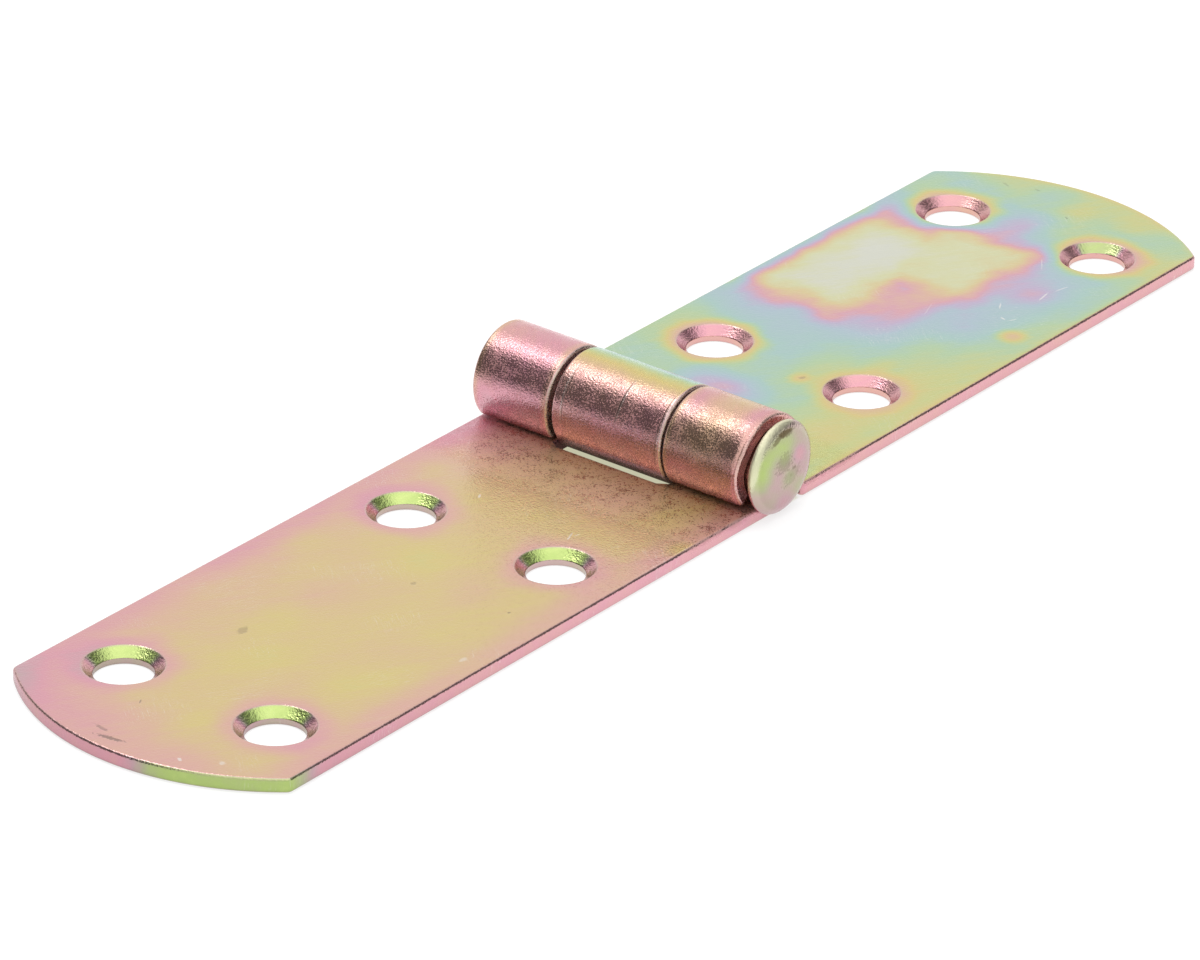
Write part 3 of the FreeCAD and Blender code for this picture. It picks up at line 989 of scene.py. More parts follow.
    def fill(
        self, skin: Skin, rows: Sequence[Sequence[int]], patch: Patch, outline: Sequence[Point]
    ) -> None:
        """Fill one side of the strip between its outer row and the rows round its holes.

        Args:
            skin: the skin that is added to.
            rows: numbers of the outer row, then of each hole's row.
            patch: the side that is filled, face or back.
            outline: the strip's outline.
        """
        edges: list[tuple[int, int]] = []
        for row in rows:
            start = len(edges)
            edges += [(start + k, start + (k + 1) % len(row)) for k in range(len(row))]
        height = self.thickness if patch is Patch.FACE else 0.0
        numbers = [index for row in rows for index in row]
        numbers += skin.add_loop(self.grid(outline), height, patch)
        flat_points = [Vector(skin.points[n][:2]) for n in numbers]
        made, _, triangles, origin, _, _ = delaunay_2d_cdt(flat_points, edges, [], 0, 1e-6)
        names = [numbers[o[0]] for o in origin]
        middles = np.array([tuple(point) for point in made])[np.array(triangles)].mean(1)
        kept = self.clearance(middles, outline) > 0
        opening = math.hypot(*(np.array(skin.points[rows[1][0]][:2]) - np.array(self.holes()[0])))
        for centre in self.holes():
            inner = opening * math.cos(math.pi / self.hole_sides) - 1e-3
            kept &= np.hypot(*(middles - np.array(centre)).T) > inner
        for triangle, keep in zip(triangles, kept):
            if keep:
                corners = [names[c] for c in triangle]
                skin.faces.append(tuple(corners if patch is Patch.FACE else reversed(corners)))

    def flat_skin(self) -> tuple[Skin, list[Point]]:
        """Build the whole skin of the flat strip.

        Returns:
            The skin and the outline it was drawn from.
        """
        outline = self.outline()
        skin = Skin()
        rows = []
        for distance, height in self.edge_profile():
            patch = Patch.BACK if distance > WALL_RIM and height < 0.1 else Patch.WALL
            rows.append(skin.add_loop(self.inset(outline, distance), height, patch))
        skin.bridge(rows)
        face_rows, back_rows = [rows[-1]], [rows[0]]
        for centre in self.holes():
            rings = [
                skin.add_loop(self.ring(centre, radius), height, patch)
                for radius, height, patch in self.hole_profile()
            ]
            skin.bridge(rings)
            face_rows.append(rings[0])
            back_rows.append(rings[-1])
        self.fill(skin, face_rows, Patch.FACE, outline)
        self.fill(skin, back_rows, Patch.BACK, outline)
        return skin, outline

    def survey(self, points: np.ndarray, patches: np.ndarray, outline: Sequence[Point]) -> Survey:
        """Measure what the film's rule needs at each point.

        Args:
            points: points of the flat skin.
            patches: part of the skin at each.
            outline: the strip's outline.

        Returns:
            The survey.
        """
        side = -1 if self.turned else 1
        spokes = np.stack([points[:, :2] - np.array(centre) for centre in self.holes()])
        gaps = np.hypot(spokes[..., 0], spokes[..., 1])
        nearest = gaps.argmin(0)
        spoke = spokes[nearest, np.arange(len(points))] * side
        return Survey(
            along=points[:, 0],
            x=points[:, 0] * side,
            y=points[:, 1] * side,
            patch=patches,
            rim=np.maximum(self.clearance(points[:, :2], outline), 0.0),
            sink=gaps.min(0) - self.sink_radius,
            spin=np.degrees(np.arctan2(spoke[:, 1], spoke[:, 0])),
            hole=nearest,
        )

    def edge_distance(self, points: np.ndarray, survey: Survey) -> np.ndarray:
        """Measure how far each point lies from a rounded edge of the strip.

        Args:
            points: points of the flat skin.
            survey: what is known at each point.

        Returns:
            The distances.
        """
        eased = 0.1
        height = np.minimum(points[:, 2], self.thickness - points[:, 2])
        edge = np.hypot(np.maximum(survey.rim - eased, 0.0), np.maximum(height - eased, 0.0))
        return np.where(survey.along < ROLL_START, np.minimum(edge, np.abs(survey.sink)), edge)

    def build(self, roller: "Roller") -> bpy.types.Object:
        """Build the leaf, roll it up and dress it.

        Args:
            roller: the tool that rolls the strip.

        Returns:
            The leaf.
        """
        skin, outline = self.flat_skin()
        points = np.array(skin.points)
        survey = self.survey(points, np.array(skin.patches), outline)
        film, rim = self.film(survey), self.edge_distance(points, survey)
        name = f"{self.node}_strip"
        mesh = self.dressed(name, roller.effects, points, skin.faces, points, film, rim)
        flat = add_object(f"{self.node}_flat", mesh)
        leaf = roller.roll(flat, f"{self.node}_strip_piece", self.roll_radius)
        if self.turned:
            leaf.data.transform(Matrix.Rotation(math.pi, 4, "Z"))
        self.stand_in(leaf)
        return leaf


@dataclass
class Roller:
    """The tool that rolls a strip's end up round the pin, as a geometry node tree.

    Args:
        effects: the shared effects of the finishes.
    """

    effects: Effects

    def __post_init__(self) -> None:
        """Build the tree once: points beyond the pin's axis go round it, and the rest stay."""
        self.tree = bpy.data.node_groups.new("roll_up_strip", "GeometryNodeTree")
        face = self.tree.interface
        sockets = {
            label: face.new_socket(name=label, in_out="INPUT", socket_type=kind)
            for label, kind in (
                ("Geometry", "NodeSocketGeometry"),
                ("Roll Radius", "NodeSocketFloat"),
                ("Material", "NodeSocketMaterial"),
            )
        }
        self.radius, self.material = sockets["Roll Radius"], sockets["Material"]
        face.new_socket(name="Geometry", in_out="OUTPUT", socket_type="NodeSocketGeometry")
        nodes = Nodes(self.tree)
        given = nodes.add("NodeGroupInput").outputs
        radius = given["Roll Radius"]
        along, across, height = nodes.split(nodes.add("GeometryNodeInputPosition").outputs[0])
        turn = nodes.math("DIVIDE", nodes.math("MAXIMUM", along, 0.0), radius)
        spoke = nodes.math("SUBTRACT", radius, height)
        rolled_x = nodes.math("MULTIPLY", spoke, nodes.math("SINE", turn))
        rolled_x = nodes.math("ADD", rolled_x, nodes.math("MINIMUM", along, 0.0))
        rise = nodes.math("MULTIPLY", spoke, nodes.math("COSINE", turn))
        rolled_z = nodes.math("SUBTRACT", radius, rise)
        there = nodes.add("ShaderNodeCombineXYZ", {0: rolled_x, 1: across, 2: rolled_z}).outputs[0]
        inputs = {"Geometry": given["Geometry"], "Position": there}
        moved = nodes.add("GeometryNodeSetPosition", inputs)
        plain = nodes.add("GeometryNodeRealizeInstances", {0: moved.outputs[0]})
        inputs = {"Geometry": plain.outputs[0], "Material": given["Material"]}
        dressed = nodes.add("GeometryNodeSetMaterial", inputs)
        nodes.add("NodeGroupOutput", {0: dressed.outputs[0]})

    def roll(self, flat: bpy.types.Object, name: str, radius: float) -> bpy.types.Object:
        """Roll a flat strip up and return the result as a plain piece.

        Args:
            flat: the strip, which is removed.
            name: name of the new piece.
            radius: outer radius of the roll, in millimetres.

        Returns:
            The rolled leaf.
        """
        modifier = flat.modifiers.new("roll", "NODES")
        modifier.node_group = self.tree
        modifier[self.radius.identifier] = radius * MM
        modifier[self.material.identifier] = flat.data.materials[0]
        graph = bpy.context.evaluated_depsgraph_get()
        rolled = flat.evaluated_get(graph)
        mesh = bpy.data.meshes.new_from_object(
            rolled, preserve_all_data_layers=True, depsgraph=graph
        )
        mesh.name = name
        piece = add_object(name, mesh)
        old = flat.data
        bpy.data.objects.remove(flat)
        bpy.data.meshes.remove(old)
        return piece


@dataclass
class NearLeaf(StripLeaf):
    """The leaf nearer the camera, which has the rear and front knuckles and holds the pin."""

    node: str = "near_leaf"
    body: str = "near_side"
    slot: str = "zinc_strip"
    turned: bool = False
    finish: PassivatedZinc = PassivatedZinc(
        "zinc_near_leaf",
        marks((-55.7, 5.3, 1.0, 0.6, 20, 0.30), (-37.5, -1.2, 0.45, 0.35, 0, 0.28))
        + marks((-80.2, 0.8, 0.35, 1.9, 8, 0.6), (-79.2, 2.8, 0.25, 1.2, -10, 0.4), ragged=2.0)
        + marks((-72.9, 3.4, 0.5, 0.12, 30, 0.5), (-36.3, -12.3, 0.25, 0.2, 0, 0.4))
        + marks(
            (-18.5, 5.8, 0.5, 0.18, 25, 0.55), (-19.6, -6.7, 1.1, 0.15, 20, 0.5),
            (-19.0, -7.1, 0.5, 0.12, -15, 0.4), (-46.7, -15.0, 0.7, 0.4, 0, 0.35),
            (-77.2, -10.6, 0.5, 0.4, 40, 0.4), (-79.2, -7.0, 0.4, 0.25, 60, 0.6),
            light=True,
        ),
    )

    def shoulders(self) -> list[Place]:
        """List the corners beside the two knuckles, the front one rolled up slightly askew.

        Returns:
            Corners with radii.
        """
        return [
            (-1.5, -17.5, 0.0), (3.0, -17.4, 0.0), (8.0, -17.15, 0.0), (13.0, -16.85, 0.0),
            (17.0, -16.74, 0.0), (19.6, -16.84, 0.0), (22.2, -16.8, 0.0), (25.0, -16.48, 0.0),
            (29.05, -16.48, 0.45), (29.05, -7.05, 0.45), (-self.notch, -7.05, 0.45),
            (-self.notch, 7.65, 0.45), (18.0, 7.65, 0.0), (29.3, 7.9, 0.45), (29.3, 17.5, 0.45),
        ]

    def film(self, survey: Survey) -> np.ndarray:
        """Work out the film's thickness: gold in the middle, pink towards the edges and holes.

        Args:
            survey: what is known at each point.

        Returns:
            The film's thickness at each point.
        """
        x, y, along = survey.x, survey.y, survey.along
        face = 74.0 + 2.8 * wander(x + 0.5 * y, y - 0.3 * x, 9.0, 2.0)
        face += 4.6 * smooth_step(7.0, 13.5, y) + 8.0 * smooth_step(12.5, 17.0, np.abs(y))
        add_clouds(face, x, y, (
            (-59, 0, 7, 8, -4.0), (-52.5, 4.5, 6, 4, -4.0), (-58, -9, 6, 5, -3.5),
            (-54, -12, 5, 4, -3.0), (-40, -4, 8, 4, -2.5), (-33.5, 2, 7, 7.5, -4.5),
            (-33, -11, 12, 5, -2.0), (-37, 13, 5, 3, -3.0), (-44.5, 4.5, 5, 4, 3.5),
            (-45, -10, 4, 3, -2.0), (-73, -3, 5, 3, -3.5), (-71, 5.5, 4, 3, -3.0),
            (-17, 13, 3, 3, -3.0), (-22, -9, 8, 5, -2.0), (-18, -2, 5, 9, -3.0),
            (-15, -16.8, 3, 2, -12.0), (-79, 12, 13, 15, 11.0), (-81, -10, 7, 14, 7.0),
            (-80, 1, 10, 20, 7.0),
        ))
        face += 4.5 * smooth_step(-16.0, -10.0, x) * smooth_step(-13.0, -6.0, y)
        uneven = 1 + 0.35 * wander(x, y, 3.0, 6.0)
        face += 11.5 * (1 - smooth_step(-0.4, 3.0, survey.sink * uneven))
        low = smooth_step(22.0, 27.0, along)
        roll = 83.0 + 5.5 * smooth_step(5.0, 8.0, y) + 3.0 * low
        roll += 5.0 * low * smooth_step(-5.0, -8.0, y)
        spots = (16.5, -8.3, 7, 2.2, 5.0), (17.0, -15.6, 6, 1.6, 5.0), (16.0, -12.5, 4, 3.5, -7.0)
        add_clouds(roll, along, y, spots)
        roll += 2.5 * wander(along, y, 5.0, 4.0)
        roll -= 6.0 * (1 - smooth_step(0.3, 1.1, survey.rim)) * (y > -12)
        # Painted light: the side of each countersink that faces the light gets a paler, greener film
        # than the rest.
        sink = 88.0 + 19.5 * survey.facing(42, 78)
        green = smooth_step(-1.0, -7.0, y) * smooth_step(-70.0, -76.0, x)
        wall = np.where(along < ROLL_START, 89.0 + 17.0 * green, np.where(y < -12, 86.0, 97.0))
        return self.joined(survey, face, roll, (-2.0, 5.0), sink, 97.0, wall)


@dataclass
class FarLeaf(StripLeaf):
    """The leaf beyond the pin, which has the middle knuckle."""

    node: str = "far_leaf"
    body: str = "far_side"
    slot: str = "zinc_strip_far"
    turned: bool = True
    finish: PassivatedZinc = PassivatedZinc(
        "zinc_far_leaf",
        marks(
            (-49.3, 10.6, 0.5, 0.16, 70, 0.6), (-49.6, 11.6, 0.6, 0.12, 150, 0.5),
            (-56.5, 10.8, 1.4, 0.14, 10, 0.55), (-59.3, 11.2, 1.1, 0.12, -12, 0.45),
            (-51.6, 8.6, 1.0, 0.12, 30, 0.55), (-14.5, -6.8, 0.5, 0.12, -60, 0.8),
            (-63.0, 6.0, 1.6, 0.08, 35, 0.35), (-46.0, 3.2, 2.0, 0.07, 20, 0.25),
            light=True,
        )
        + marks((-24.2, 2.9, 0.5, 0.35, 0, 0.3), (-74.5, 1.2, 0.35, 0.12, 60, 0.5))
        + marks((-78.5, -5.5, 0.5, 0.18, 75, 0.25), (-77.5, -9.0, 0.8, 0.18, 65, 0.22), ragged=2.0)
        # Grooves round the middle knuckle: each a dent with a dark line of painted shade and, beside
        # it, a light line of painted highlight.
        + marks((12.3, 0.90, 3.6, 0.12, 1, 0.8), height=0.0, ragged=0.5)
        + marks(
            (12.5, 1.08, 3.0, 0.10, 1, 0.4), (11.2, -6.00, 4.6, 0.10, -1, 0.45),
            (11.0, 6.45, 5.4, 0.10, 1, 0.5),
            light=True, height=0.0, ragged=0.8,
        )
        + marks(
            (11.2, -5.80, 4.2, 0.10, -1, 0.6), (11.0, 6.20, 5.2, 0.10, 1, 0.7),
            height=0.0, ragged=0.8,
        ),
    )
    front_tip_hole: int = 3

    def shoulders(self) -> list[Place]:
        """List the corners beside the middle knuckle.

        Returns:
            Corners with radii.
        """
        near, end = -self.notch, self.roll_length
        return [
            (near, -17.5, 0.5), (near, -7.2, 0.45), (end, -7.2, 0.45),
            (end, 6.8, 0.45), (near, 6.8, 0.45), (near, 17.5, 0.5),
        ]

    @staticmethod
    def outside_block(x: np.ndarray, y: np.ndarray, middle: Point, half: Point) -> np.ndarray:
        """Measure the distance outside a block, negative inside it.

        Args:
            x: places along the hinge.
            y: places along the pin.
            middle: the block's middle.
            half: half its sizes.

        Returns:
            Signed distances.
        """
        out_x, out_y = np.abs(x - middle[0]) - half[0], np.abs(y - middle[1]) - half[1]
        outside = np.hypot(np.maximum(out_x, 0), np.maximum(out_y, 0))
        return outside + np.minimum(np.maximum(out_x, out_y), 0)

    def film(self, survey: Survey) -> np.ndarray:
        """Work out the film's thickness: thin on one bare patch, thickening away from it.

        Args:
            survey: what is known at each point.

        Returns:
            The film's thickness at each point.
        """
        x, y, along = survey.x, survey.y, survey.along
        bent_x = x + 1.1 * wander(x, y, 4.5, 8.0) + 0.7 * wander(x, y, 1.8, 12.0)
        bent_y = y + 1.0 * wander(x, y, 4.5, 9.0) + 0.6 * wander(x, y, 1.8, 13.0)
        patch = self.outside_block(bent_x, bent_y, (50.6, 9.6), (8.6, 4.4))
        lobe = np.maximum(self.outside_block(bent_x, bent_y, (57.2, 1.8), (5.2, 4.2)), -0.2)
        distances = (-4, -1.5, 0, 1.2, 2.2, 3.4, 5.5, 10, 16, 30)
        face = np.interp(np.minimum(patch, lobe), distances, (0, 3, 8, 14, 22, 31, 41, 47, 52, 57))
        add_clouds(face, x, y, (
            (45.5, -1.5, 6.5, 4.5, -17.0), (38.0, 12.0, 4.0, 5.0, -10.0),
            (37.6, 4.0, 3.5, 4.0, -9.0), (45.0, -8.0, 6.0, 4.0, -7.0),
            (17.2, 2.5, 5.0, 8.0, -26.0), (56.5, -9.5, 6.0, 4.5, -13.0),
            (70.0, 1.4, 5.5, 3.2, -11.0), (27.0, -12.5, 20.0, 10.0, 14.5),
            (12.0, -14.0, 9.0, 8.0, 7.0), (46.3, -13.8, 2.4, 2.4, 24.0),
            (23.9, -2.7, 2.0, 1.6, 16.0), (32.0, -7.5, 3.5, 2.5, 7.0), (76.0, -1.5, 4.0, 4.0, 5.0),
            (80.0, 2.0, 12.0, 20.0, 12.0), (28.0, 15.5, 10.0, 5.0, 10.0),
            (70.0, -14.5, 9.0, 7.0, 12.0), (70.5, -4.0, 6.0, 5.0, 12.0),
            (78.0, -9.0, 5.0, 6.0, 8.0), (27.0, -3.0, 10.0, 5.0, 8.0),
            (48.0, -15.5, 20.0, 5.0, 7.0), (40.0, -2.0, 7.0, 6.0, -9.0),
            (46.5, 0.5, 4.5, 4.0, -6.0), (78.5, 3.0, 4.5, 5.0, -9.0), (63.5, 14.5, 4.0, 5.0, -9.0),
            (70.5, 15.0, 6.0, 4.0, 8.0),
        ))
        face += 3.0 * wander(x, y, 6.0, 1.0) + 1.2 * wander(x, y, 2.4, 5.0)
        fringe = smooth_step(14.6, 17.6, y) * smooth_step(35.0, 39.0, x)
        face += 20.0 * fringe * (1 - smooth_step(62.0, 66.0, x))
        halo = np.array((27.0, 12.0, 27.0, 28.0))[survey.hole]
        uneven = 1 + 0.4 * wander(x, y, 2.5, 6.0)
        face += halo * (1 - smooth_step(-0.6, 2.4, survey.sink * uneven))
        face += 7.0 * (1 - smooth_step(0.0, 1.4, survey.rim)) * (y < 14)
        stretches = (0, 3, 6, 10, 13.5, 14.4, 15.0, 15.8, 16.8, 17.5, 18.3, 19.2, 21, 29)
        roll = np.interp(along, stretches, (56, 85, 89, 88, 85, 83, 78, 73, 67, 61, 55, 50, 46, 52))
        roll -= 8.0 * smooth_step(17.5, 19.5, along) * smooth_step(2.0, -5.0, y)
        roll += 2.5 * wander(along, y, 5.0, 4.0)
        # Painted light: the side of the tip's front countersink that faces the light gets a paler,
        # greener film.
        sink = 88.0 + 14.5 * survey.facing(30, 50) * (survey.hole == self.front_tip_hole)
        wall = np.where(along < ROLL_START, 88.0, 97.0)
        return self.joined(survey, face, roll, (-3.0, 3.0), sink, 84.0, wall)


@dataclass
class HeadedPin(Piece):
    """The pin: a thin crowned head, a shank, and a riveted rear end, turned as one profile.

    Args:
        height: height of its axis over the leaves' backs, in millimetres.
        head_front: where the head's face lies along the pin.
        head_back: where the head's back lies.
        head_radius: radius of the head.
        flat_radius: radius of the flat on its face.
        crown: how far the face falls away to the rim.
        eased: rounding of the head's back edge.
        shank_radius: radius of the shank.
        rivet_seat: where the riveted end starts.
        rivet_top: where it ends.
        rivet_radius: its radius.
        sides: sides of the turned mesh.
        shift: how far the finish places it along the strip, away from the knuckles.
        face_height: height over the strip's back that the finish gives the head's face.
        painted_highlight_spread: how slowly the rim's painted highlight ends, as a share of a
            strip's edge.
        painted_highlight_fade: how much less of that highlight the side away from the lit one gets.
        painted_highlight_turn: direction of the rim's lit side, where the highlight is painted, in
            degrees.
    """

    node: str = "pin"
    body: str = "near_side"
    slot: str = "zinc_pin"
    finish: PassivatedZinc = PassivatedZinc(
        "zinc_pin_skin",
        marks(
            (-11.4, 5.75, 0.35, 0.25, 30, 0.5), (-10.5, 5.0, 0.45, 0.3, 0, 0.6),
            (-11.0, 4.3, 0.3, 0.2, 60, 0.5), (-10.0, 4.4, 0.3, 0.2, 0, 0.45),
            (-11.9, 3.4, 0.2, 0.15, 0, 0.5),
        )
        + marks((-12.0, 5.35, 10.0, 10.0, 0, 0.15), ragged=0.3)
        + marks((-12.1, 6.1, 1.9, 1.4, 0, 0.44), ragged=2.2)
        + marks((-10.9, 4.3, 2.0, 1.2, 20, 0.32), ragged=2.4)
        # Painted reflection: a dark crescent along the head's upper rim, where it mirrors the
        # studio's dark side.
        + marks((-12.2, 9.60, 2.9, 0.85, 0, 0.95), ragged=0.7)
        + marks((-13.3, 9.10, 1.5, 0.50, 28, 0.70), ragged=0.8)
        # Painted shade: darkens the shank and the head's back in the gap before the front knuckle.
        + marks((-12.0, 5.35, 12.0, 12.0, 0, 0.75), height=3.75, ragged=0.0, deep=1.6),
        drift=2.5,
        # Painted highlight: a pale cream band on the head's lit upper-left rim.
        rub_and_highlight_colour=(232, 231, 196),
        rub_and_highlight_share=0.85,
        rub_and_highlight_rough=0.34,
        speckle=0.0,
        dark_colour=(100, 86, 58),
    )
    height: float = 5.35
    head_front: float = -18.70
    head_back: float = -17.65
    head_radius: float = 5.0
    flat_radius: float = 3.3
    crown: float = 0.80
    eased: float = 0.16
    shank_radius: float = 3.7
    rivet_seat: float = 17.55
    rivet_top: float = 18.25
    rivet_radius: float = 4.3
    sides: int = 160
    shift: float = 12.0
    face_height: float = 1.6
    # Painted highlight on the head's rim: its spread, its fade away from the lit side, and the lit
    # side's direction.
    painted_highlight_spread: float = 0.23
    painted_highlight_fade: float = 0.3
    painted_highlight_turn: float = 128.0

    def profile(self) -> list[Point]:
        """List radius and place along the pin, from the head's middle to the rear end's.

        Returns:
            The turned profile.
        """
        front, back, rim, flat = self.head_front, self.head_back, self.head_radius, self.flat_radius
        shank, seat, rivet = self.shank_radius, self.rivet_seat, self.rivet_radius
        rows: list[Point] = [(flat * k / 8, front) for k in range(9)]
        for angle in quarter_turn(12)[1:]:
            rise = self.crown * (1 - math.cos(angle))
            rows.append((flat + (rim - flat) * math.sin(angle), front + rise))
        for angle in quarter_turn(4):
            inset, lift = self.eased * (1 - math.cos(angle)), self.eased * (1 - math.sin(angle))
            rows.append((rim - inset, back - lift))
        rows += [(shank + 0.12, back), (shank, back + 0.12), (shank, back + 0.5)]
        rows += [(shank, seat - 0.1), (shank + 0.02, seat)]
        rows += [(rivet - 0.1, seat), (rivet, seat + 0.08)]
        dome = self.rivet_top - seat - 0.08
        shares = (0.95, 0.88, 0.78, 0.66, 0.5, 0.34, 0.18, 0.08, 0.0)
        return rows + [(rivet * share, self.rivet_top - dome * share**2.6) for share in shares]

    def build(self, effects: Effects) -> bpy.types.Object:
        """Turn the pin and dress it.

        Args:
            effects: the shared effects.

        Returns:
            The pin.
        """
        rows = self.profile()
        turned: list[Place] = []
        for radius, along in rows[1:-1]:
            for k in range(self.sides):
                angle = 2 * math.pi * k / self.sides
                height = self.height + radius * math.sin(angle)
                turned.append((radius * math.cos(angle), along, height))
        faces: list[tuple[int, ...]] = []
        last = (len(rows) - 3) * self.sides
        for k in range(self.sides):
            following = (k + 1) % self.sides
            for low in range(0, last, self.sides):
                high = low + self.sides
                faces.append((low + k, low + following, high + following, high + k))
            faces.append((len(turned), following, k))
            faces.append((len(turned) + 1, last + k, last + following))
        ends = [(0.0, rows[0][1], self.height), (0.0, rows[-1][1], self.height)]
        points = np.array(turned + ends)
        x, y, z = points.T
        # Painted highlight: only the lit upper-left side of the head's rim comes out pale.
        rim = np.maximum(self.head_radius - np.hypot(x, z - self.height), 0.0) * self.painted_highlight_spread
        rim = rim + self.painted_highlight_fade * (1 - self.painted_highlight_side(points))
        places = np.stack([x - self.shift, z, y - self.head_front + self.face_height], 1)
        mesh = self.dressed("headed_pin", effects, points, faces, places, self.film(points), rim)
        pin = add_object("headed_pin", mesh)
        self.stand_in(pin)
        return pin

    def painted_highlight_side(self, places: np.ndarray) -> np.ndarray:
        """Find the side of the head's rim that gets a painted pale highlight: one there, nought
        opposite.
        """
        spin = np.degrees(np.arctan2(places[:, 2] - self.height, places[:, 0]))
        return 1 - smooth_step(38.0, 85.0, np.abs((spin - self.painted_highlight_turn + 180) % 360 - 180))

    def film(self, places: np.ndarray) -> np.ndarray:
        """Work out the film's thickness over the pin.

        Args:
            places: points of the pin.

        Returns:
            The film's thickness at each point.
        """
        x, z = places[:, 0], places[:, 2] - self.height
        film = 96.6 + 1.4 * wander(x, z, 2.0, 3.0)
        add_clouds(film, x, z, (
            (-0.8, 2.6, 3.8, 2.3, 9.5), (-3.7, 0.8, 2.6, 3.2, 9.5), (-0.1, 0.9, 1.7, 1.4, 3.0),
            (0.6, -1.2, 1.9, 1.4, 4.0), (2.5, 0.9, 1.5, 1.5, -4.5), (2.6, -2.6, 2.0, 1.6, 3.5),
            (0.0, -3.7, 2.4, 1.6, -3.0), (3.6, 3.2, 2.6, 2.6, 2.5),
        ))
        return np.where(places[:, 1] > self.head_back - 0.3, 88.0, film)


@dataclass
class Studio:
    """Camera, pale floor and soft studio light.

    Args:
        azimuth: camera's direction round the object, in degrees.
        elevation: camera's height above the horizon, in degrees.
        roll: camera's tilt, in degrees.
        distance: from the camera to what it looks at, in millimetres.
        target: what the camera looks at, in millimetres.
        lens: focal length in millimetres.
        sensor: width of the sensor in millimetres.
        surroundings: brightness of the studio where nothing else is said.
        sky: soft bright or dark areas that the metal mirrors, later ones over earlier ones:
            direction from the object, angle where full, angle where it ends, brightness.
        floor_glow: brightness of the floor as the camera and the metal see it.
        floor_colour: how pale the floor is to the lamp.
        floor_half: half the floor's width, in metres.
        floor_drop: how far the floor lies under the hinge, in metres.
        shade_half: half the sizes of the shaded floor under the knuckles, in millimetres.
        shade_fade: how far that shade takes to end, inwards and outwards.
        shade_seen: how much darker the camera sees the shaded floor.
        shade_mirrored: how much darker the metal mirrors it.
        shade_tint: its tint.
        shade_dark: its colour to the lamp.
        rear_direction: direction towards the studio's darker side.
        rear_reach: how far that way the floor's mirrored glow falls, in metres.
        rear_share: share of the glow that is left there.
        lamp_size: width of the lamp, in metres.
        lamp_place: where the lamp hangs, in metres.
        lamp_power: its power in watts.
    """

    azimuth: float = -52.2795
    elevation: float = 26.6865
    roll: float = 0.9124
    distance: float = 763.792
    target: Place = (-5.4026, 0.6293, 0.0)
    lens: float = 225.565
    sensor: float = 36.0
    surroundings: float = 0.85
    sky: tuple[tuple[Place, float, float, float], ...] = (
        ((-0.20, -0.15, 0.97), 22, 40, 1.30),
        ((0.36, 0.55, 0.76), 18, 34, 0.98),
        ((-0.07, 0.46, 0.885), 8, 13, 3.60),
        ((-0.28, -0.62, 0.73), 15, 30, 1.40),
        ((0.79, 0.61, 0.30), 28, 48, 0.935),
        ((-0.66, 0.58, 0.36), 24, 38, 0.07),
        ((-0.12, 0.94, 0.33), 10, 22, 0.12),
        ((0.71, -0.55, 0.40), 18, 32, 0.08),
        ((0.42, -0.90, 0.12), 11, 21, 0.10),
    )
    floor_glow: float = 0.74
    floor_colour: float = 0.28
    floor_half: float = 1.5
    floor_drop: float = 0.00002
    shade_half: Point = (4.6, 17.3)
    shade_fade: Point = (0.6, 0.2)
    shade_seen: float = 0.25
    shade_mirrored: float = 0.92
    shade_tint: tuple[float, ...] = (1.0, 0.98, 0.70, 1)
    shade_dark: tuple[float, ...] = (0.03, 0.03, 0.02, 1)
    rear_direction: Place = (-0.82, 0.57, 0.0)
    rear_reach: float = 0.08
    rear_share: float = 0.62
    lamp_size: float = 0.5
    lamp_place: Place = (0.05, 0.08, 0.55)
    lamp_power: float = 2.2

    def build(self) -> None:
        """Set up the whole studio."""
        self.place_camera()
        self.light_world()
        self.lay_floor()
        self.hang_lamp()
        bpy.context.scene.view_settings.view_transform = "Standard"

    def place_camera(self) -> None:
        """Put the camera where the photograph was taken from."""
        data = bpy.data.cameras.new("camera")
        data.sensor_width = self.sensor
        data.sensor_fit = "HORIZONTAL"
        data.lens = self.lens
        data.clip_start, data.clip_end = 0.01, 20.0
        camera = add_object("camera", data)
        turn, rise, tilt = (math.radians(a) for a in (self.azimuth, self.elevation, self.roll))
        flat = math.cos(rise)
        back = Vector((math.sin(turn) * flat, -math.cos(turn) * flat, math.sin(rise)))
        right = (-back).cross(Vector((0, 0, 1))).normalized()
        up = right.cross(-back)
        level = right * math.cos(tilt) + up * math.sin(tilt)
        upright = up * math.cos(tilt) - right * math.sin(tilt)
        spin = Matrix((level, upright, back)).transposed()
        place = (Vector(self.target) + back * self.distance) * MM
        camera.matrix_world = Matrix.Translation(place) @ spin.to_4x4()
        bpy.context.scene.camera = camera

    def light_world(self) -> None:
        """Surround the object with a soft studio that the camera itself sees as white."""
        world = bpy.data.worlds.new("studio")
        bpy.context.scene.world = world
        nodes = Nodes.clean(world)
        place = nodes.add("ShaderNodeTexCoord").outputs["Generated"]
        strength: object = self.surroundings
        for direction, core, edge, brightness in self.sky:
            facing = nodes.vector("DOT_PRODUCT", place, tuple(Vector(direction).normalized()))
            share = nodes.ramp(facing, math.cos(math.radians(edge)), math.cos(math.radians(core)))
            strength = nodes.mix(share, strength, brightness)
        seen = nodes.add("ShaderNodeLightPath").outputs["Is Camera Ray"]
        inputs = {"Color": (1, 1, 1, 1), "Strength": nodes.mix(seen, strength, 1.0)}
        background = nodes.add("ShaderNodeBackground", inputs)
        nodes.add("ShaderNodeOutputWorld", {"Surface": background.outputs[0]})

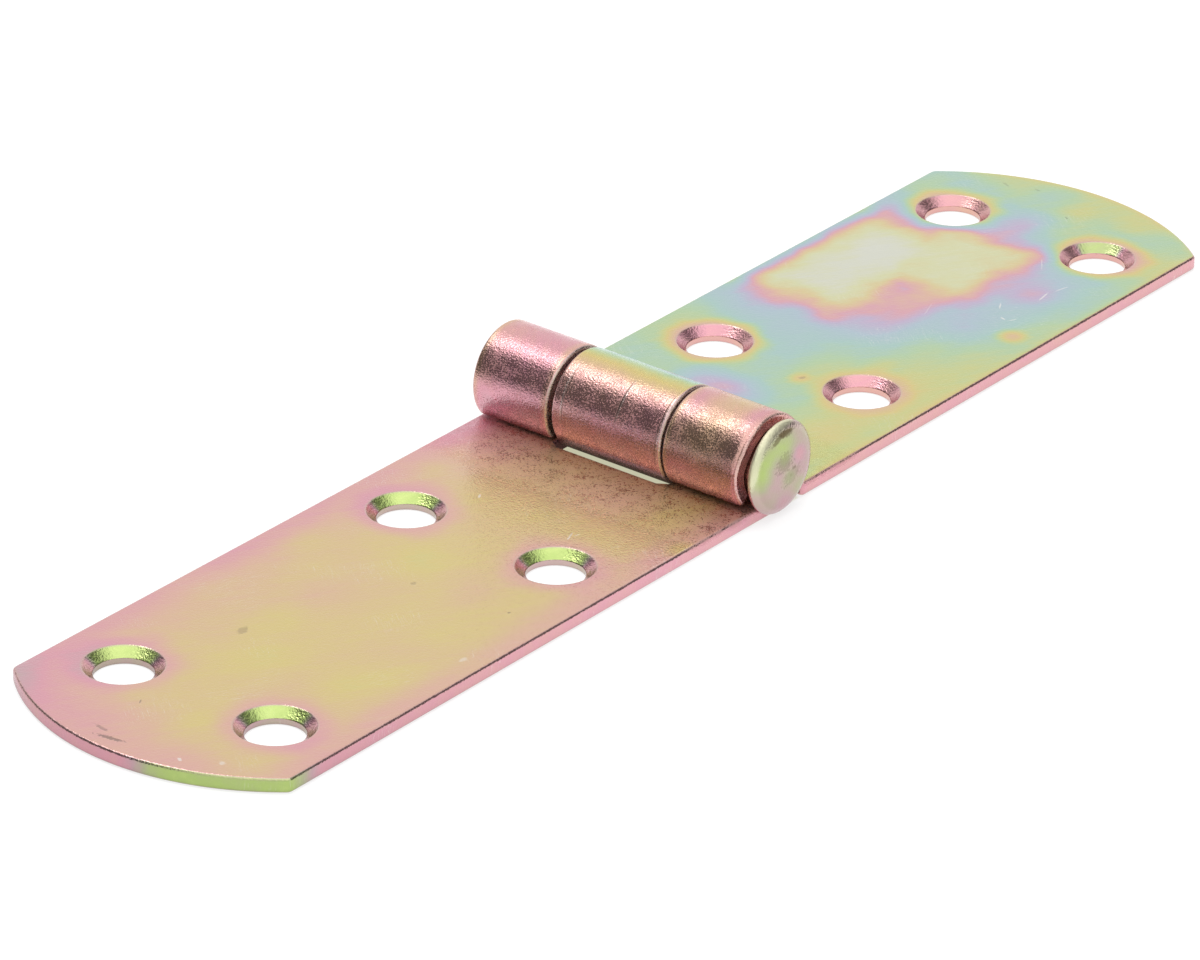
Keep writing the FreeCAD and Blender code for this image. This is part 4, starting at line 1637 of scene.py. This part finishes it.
    def lay_floor(self) -> None:
        """Lay the pale floor, which keeps a faint shadow."""
        mesh = bpy.data.meshes.new("floor")
        half = self.floor_half
        corners = [(-half, -half, 0), (half, -half, 0), (half, half, 0), (-half, half, 0)]
        mesh.from_pydata(corners, [], [(0, 1, 2, 3)])
        floor = add_object("floor", mesh)
        floor.location.z = -self.floor_drop
        material = bpy.data.materials.new("pale_floor")
        nodes = Nodes.clean(material)
        path = nodes.add("ShaderNodeLightPath").outputs
        shade = self.under_the_pin(nodes)
        mirrored = nodes.math("MAXIMUM", path["Is Glossy Ray"], path["Is Transmission Ray"])
        left = nodes.math("MULTIPLY_ADD", shade, -self.shade_mirrored, 1.0)
        mirrored = nodes.math("MULTIPLY", mirrored, left)
        mirrored = nodes.math("MULTIPLY", mirrored, self.towards_the_rear(nodes))
        direct = nodes.math("MULTIPLY_ADD", shade, -self.shade_seen, 1.0)
        direct = nodes.math("MULTIPLY", path["Is Camera Ray"], direct)
        brightness = nodes.math("MAXIMUM", direct, mirrored)
        brightness = nodes.math("MULTIPLY", brightness, self.floor_glow)
        tint = nodes.mix(shade, (1, 1, 1, 1), self.shade_tint)
        pale = (self.floor_colour, self.floor_colour, self.floor_colour, 1)
        glow = nodes.add("ShaderNodeEmission", {"Color": tint, "Strength": brightness})
        matt = nodes.add("ShaderNodeBsdfDiffuse", {"Color": nodes.mix(shade, pale, self.shade_dark)})
        both = nodes.add("ShaderNodeAddShader", {0: glow.outputs[0], 1: matt.outputs[0]})
        nodes.add("ShaderNodeOutputMaterial", {"Surface": both.outputs[0]})
        mesh.materials.append(material)

    def under_the_pin(self, nodes: Nodes) -> Socket:
        """Find the floor right under the knuckles, where hardly any light reaches.

        Args:
            nodes: the floor material's nodes.

        Returns:
            One under the knuckles and nought elsewhere.
        """
        place = nodes.split(nodes.add("ShaderNodeTexCoord").outputs["Object"])
        inwards, outwards = self.shade_fade
        masks = []
        for across, half in zip(place, self.shade_half):
            start, end = (half - inwards) * MM, (half + outwards) * MM
            masks.append(nodes.ramp(nodes.math("ABSOLUTE", across), start, end, 1.0, 0.0))
        return nodes.math("MULTIPLY", *masks)

    def towards_the_rear(self, nodes: Nodes) -> Socket:
        """Dim what the metal mirrors of the floor behind the near leaf, where the studio is darker.

        Args:
            nodes: the floor material's nodes.

        Returns:
            The share of the glow that is left.
        """
        place = nodes.add("ShaderNodeTexCoord").outputs["Object"]
        along = nodes.vector("DOT_PRODUCT", place, self.rear_direction)
        return nodes.ramp(along, 0.0, self.rear_reach, 1.0, self.rear_share)

    def hang_lamp(self) -> None:
        """Hang one large soft lamp over the object, turned towards it."""
        data = bpy.data.lights.new("soft_lamp", "AREA")
        data.shape = "SQUARE"
        data.size = self.lamp_size
        data.energy = self.lamp_power
        lamp = add_object("soft_lamp", data)
        lamp.location = self.lamp_place
        lamp.rotation_euler = (-Vector(lamp.location)).to_track_quat("-Z", "Y").to_euler()
        lamp.visible_glossy = False


def main() -> None:
    """Build the studio and every piece in order, and report each."""
    logging.basicConfig(level=logging.INFO, format="%(name)s: %(message)s")
    Studio().build()
    effects = Effects()
    roller = Roller(effects)
    pieces = [leaf.build(roller) for leaf in (NearLeaf(), FarLeaf())]
    for piece in (*pieces, HeadedPin().build(effects)):
        LOG.info("%s has %d faces", piece.name, len(piece.data.polygons))


if __name__ == "__main__":
    main()
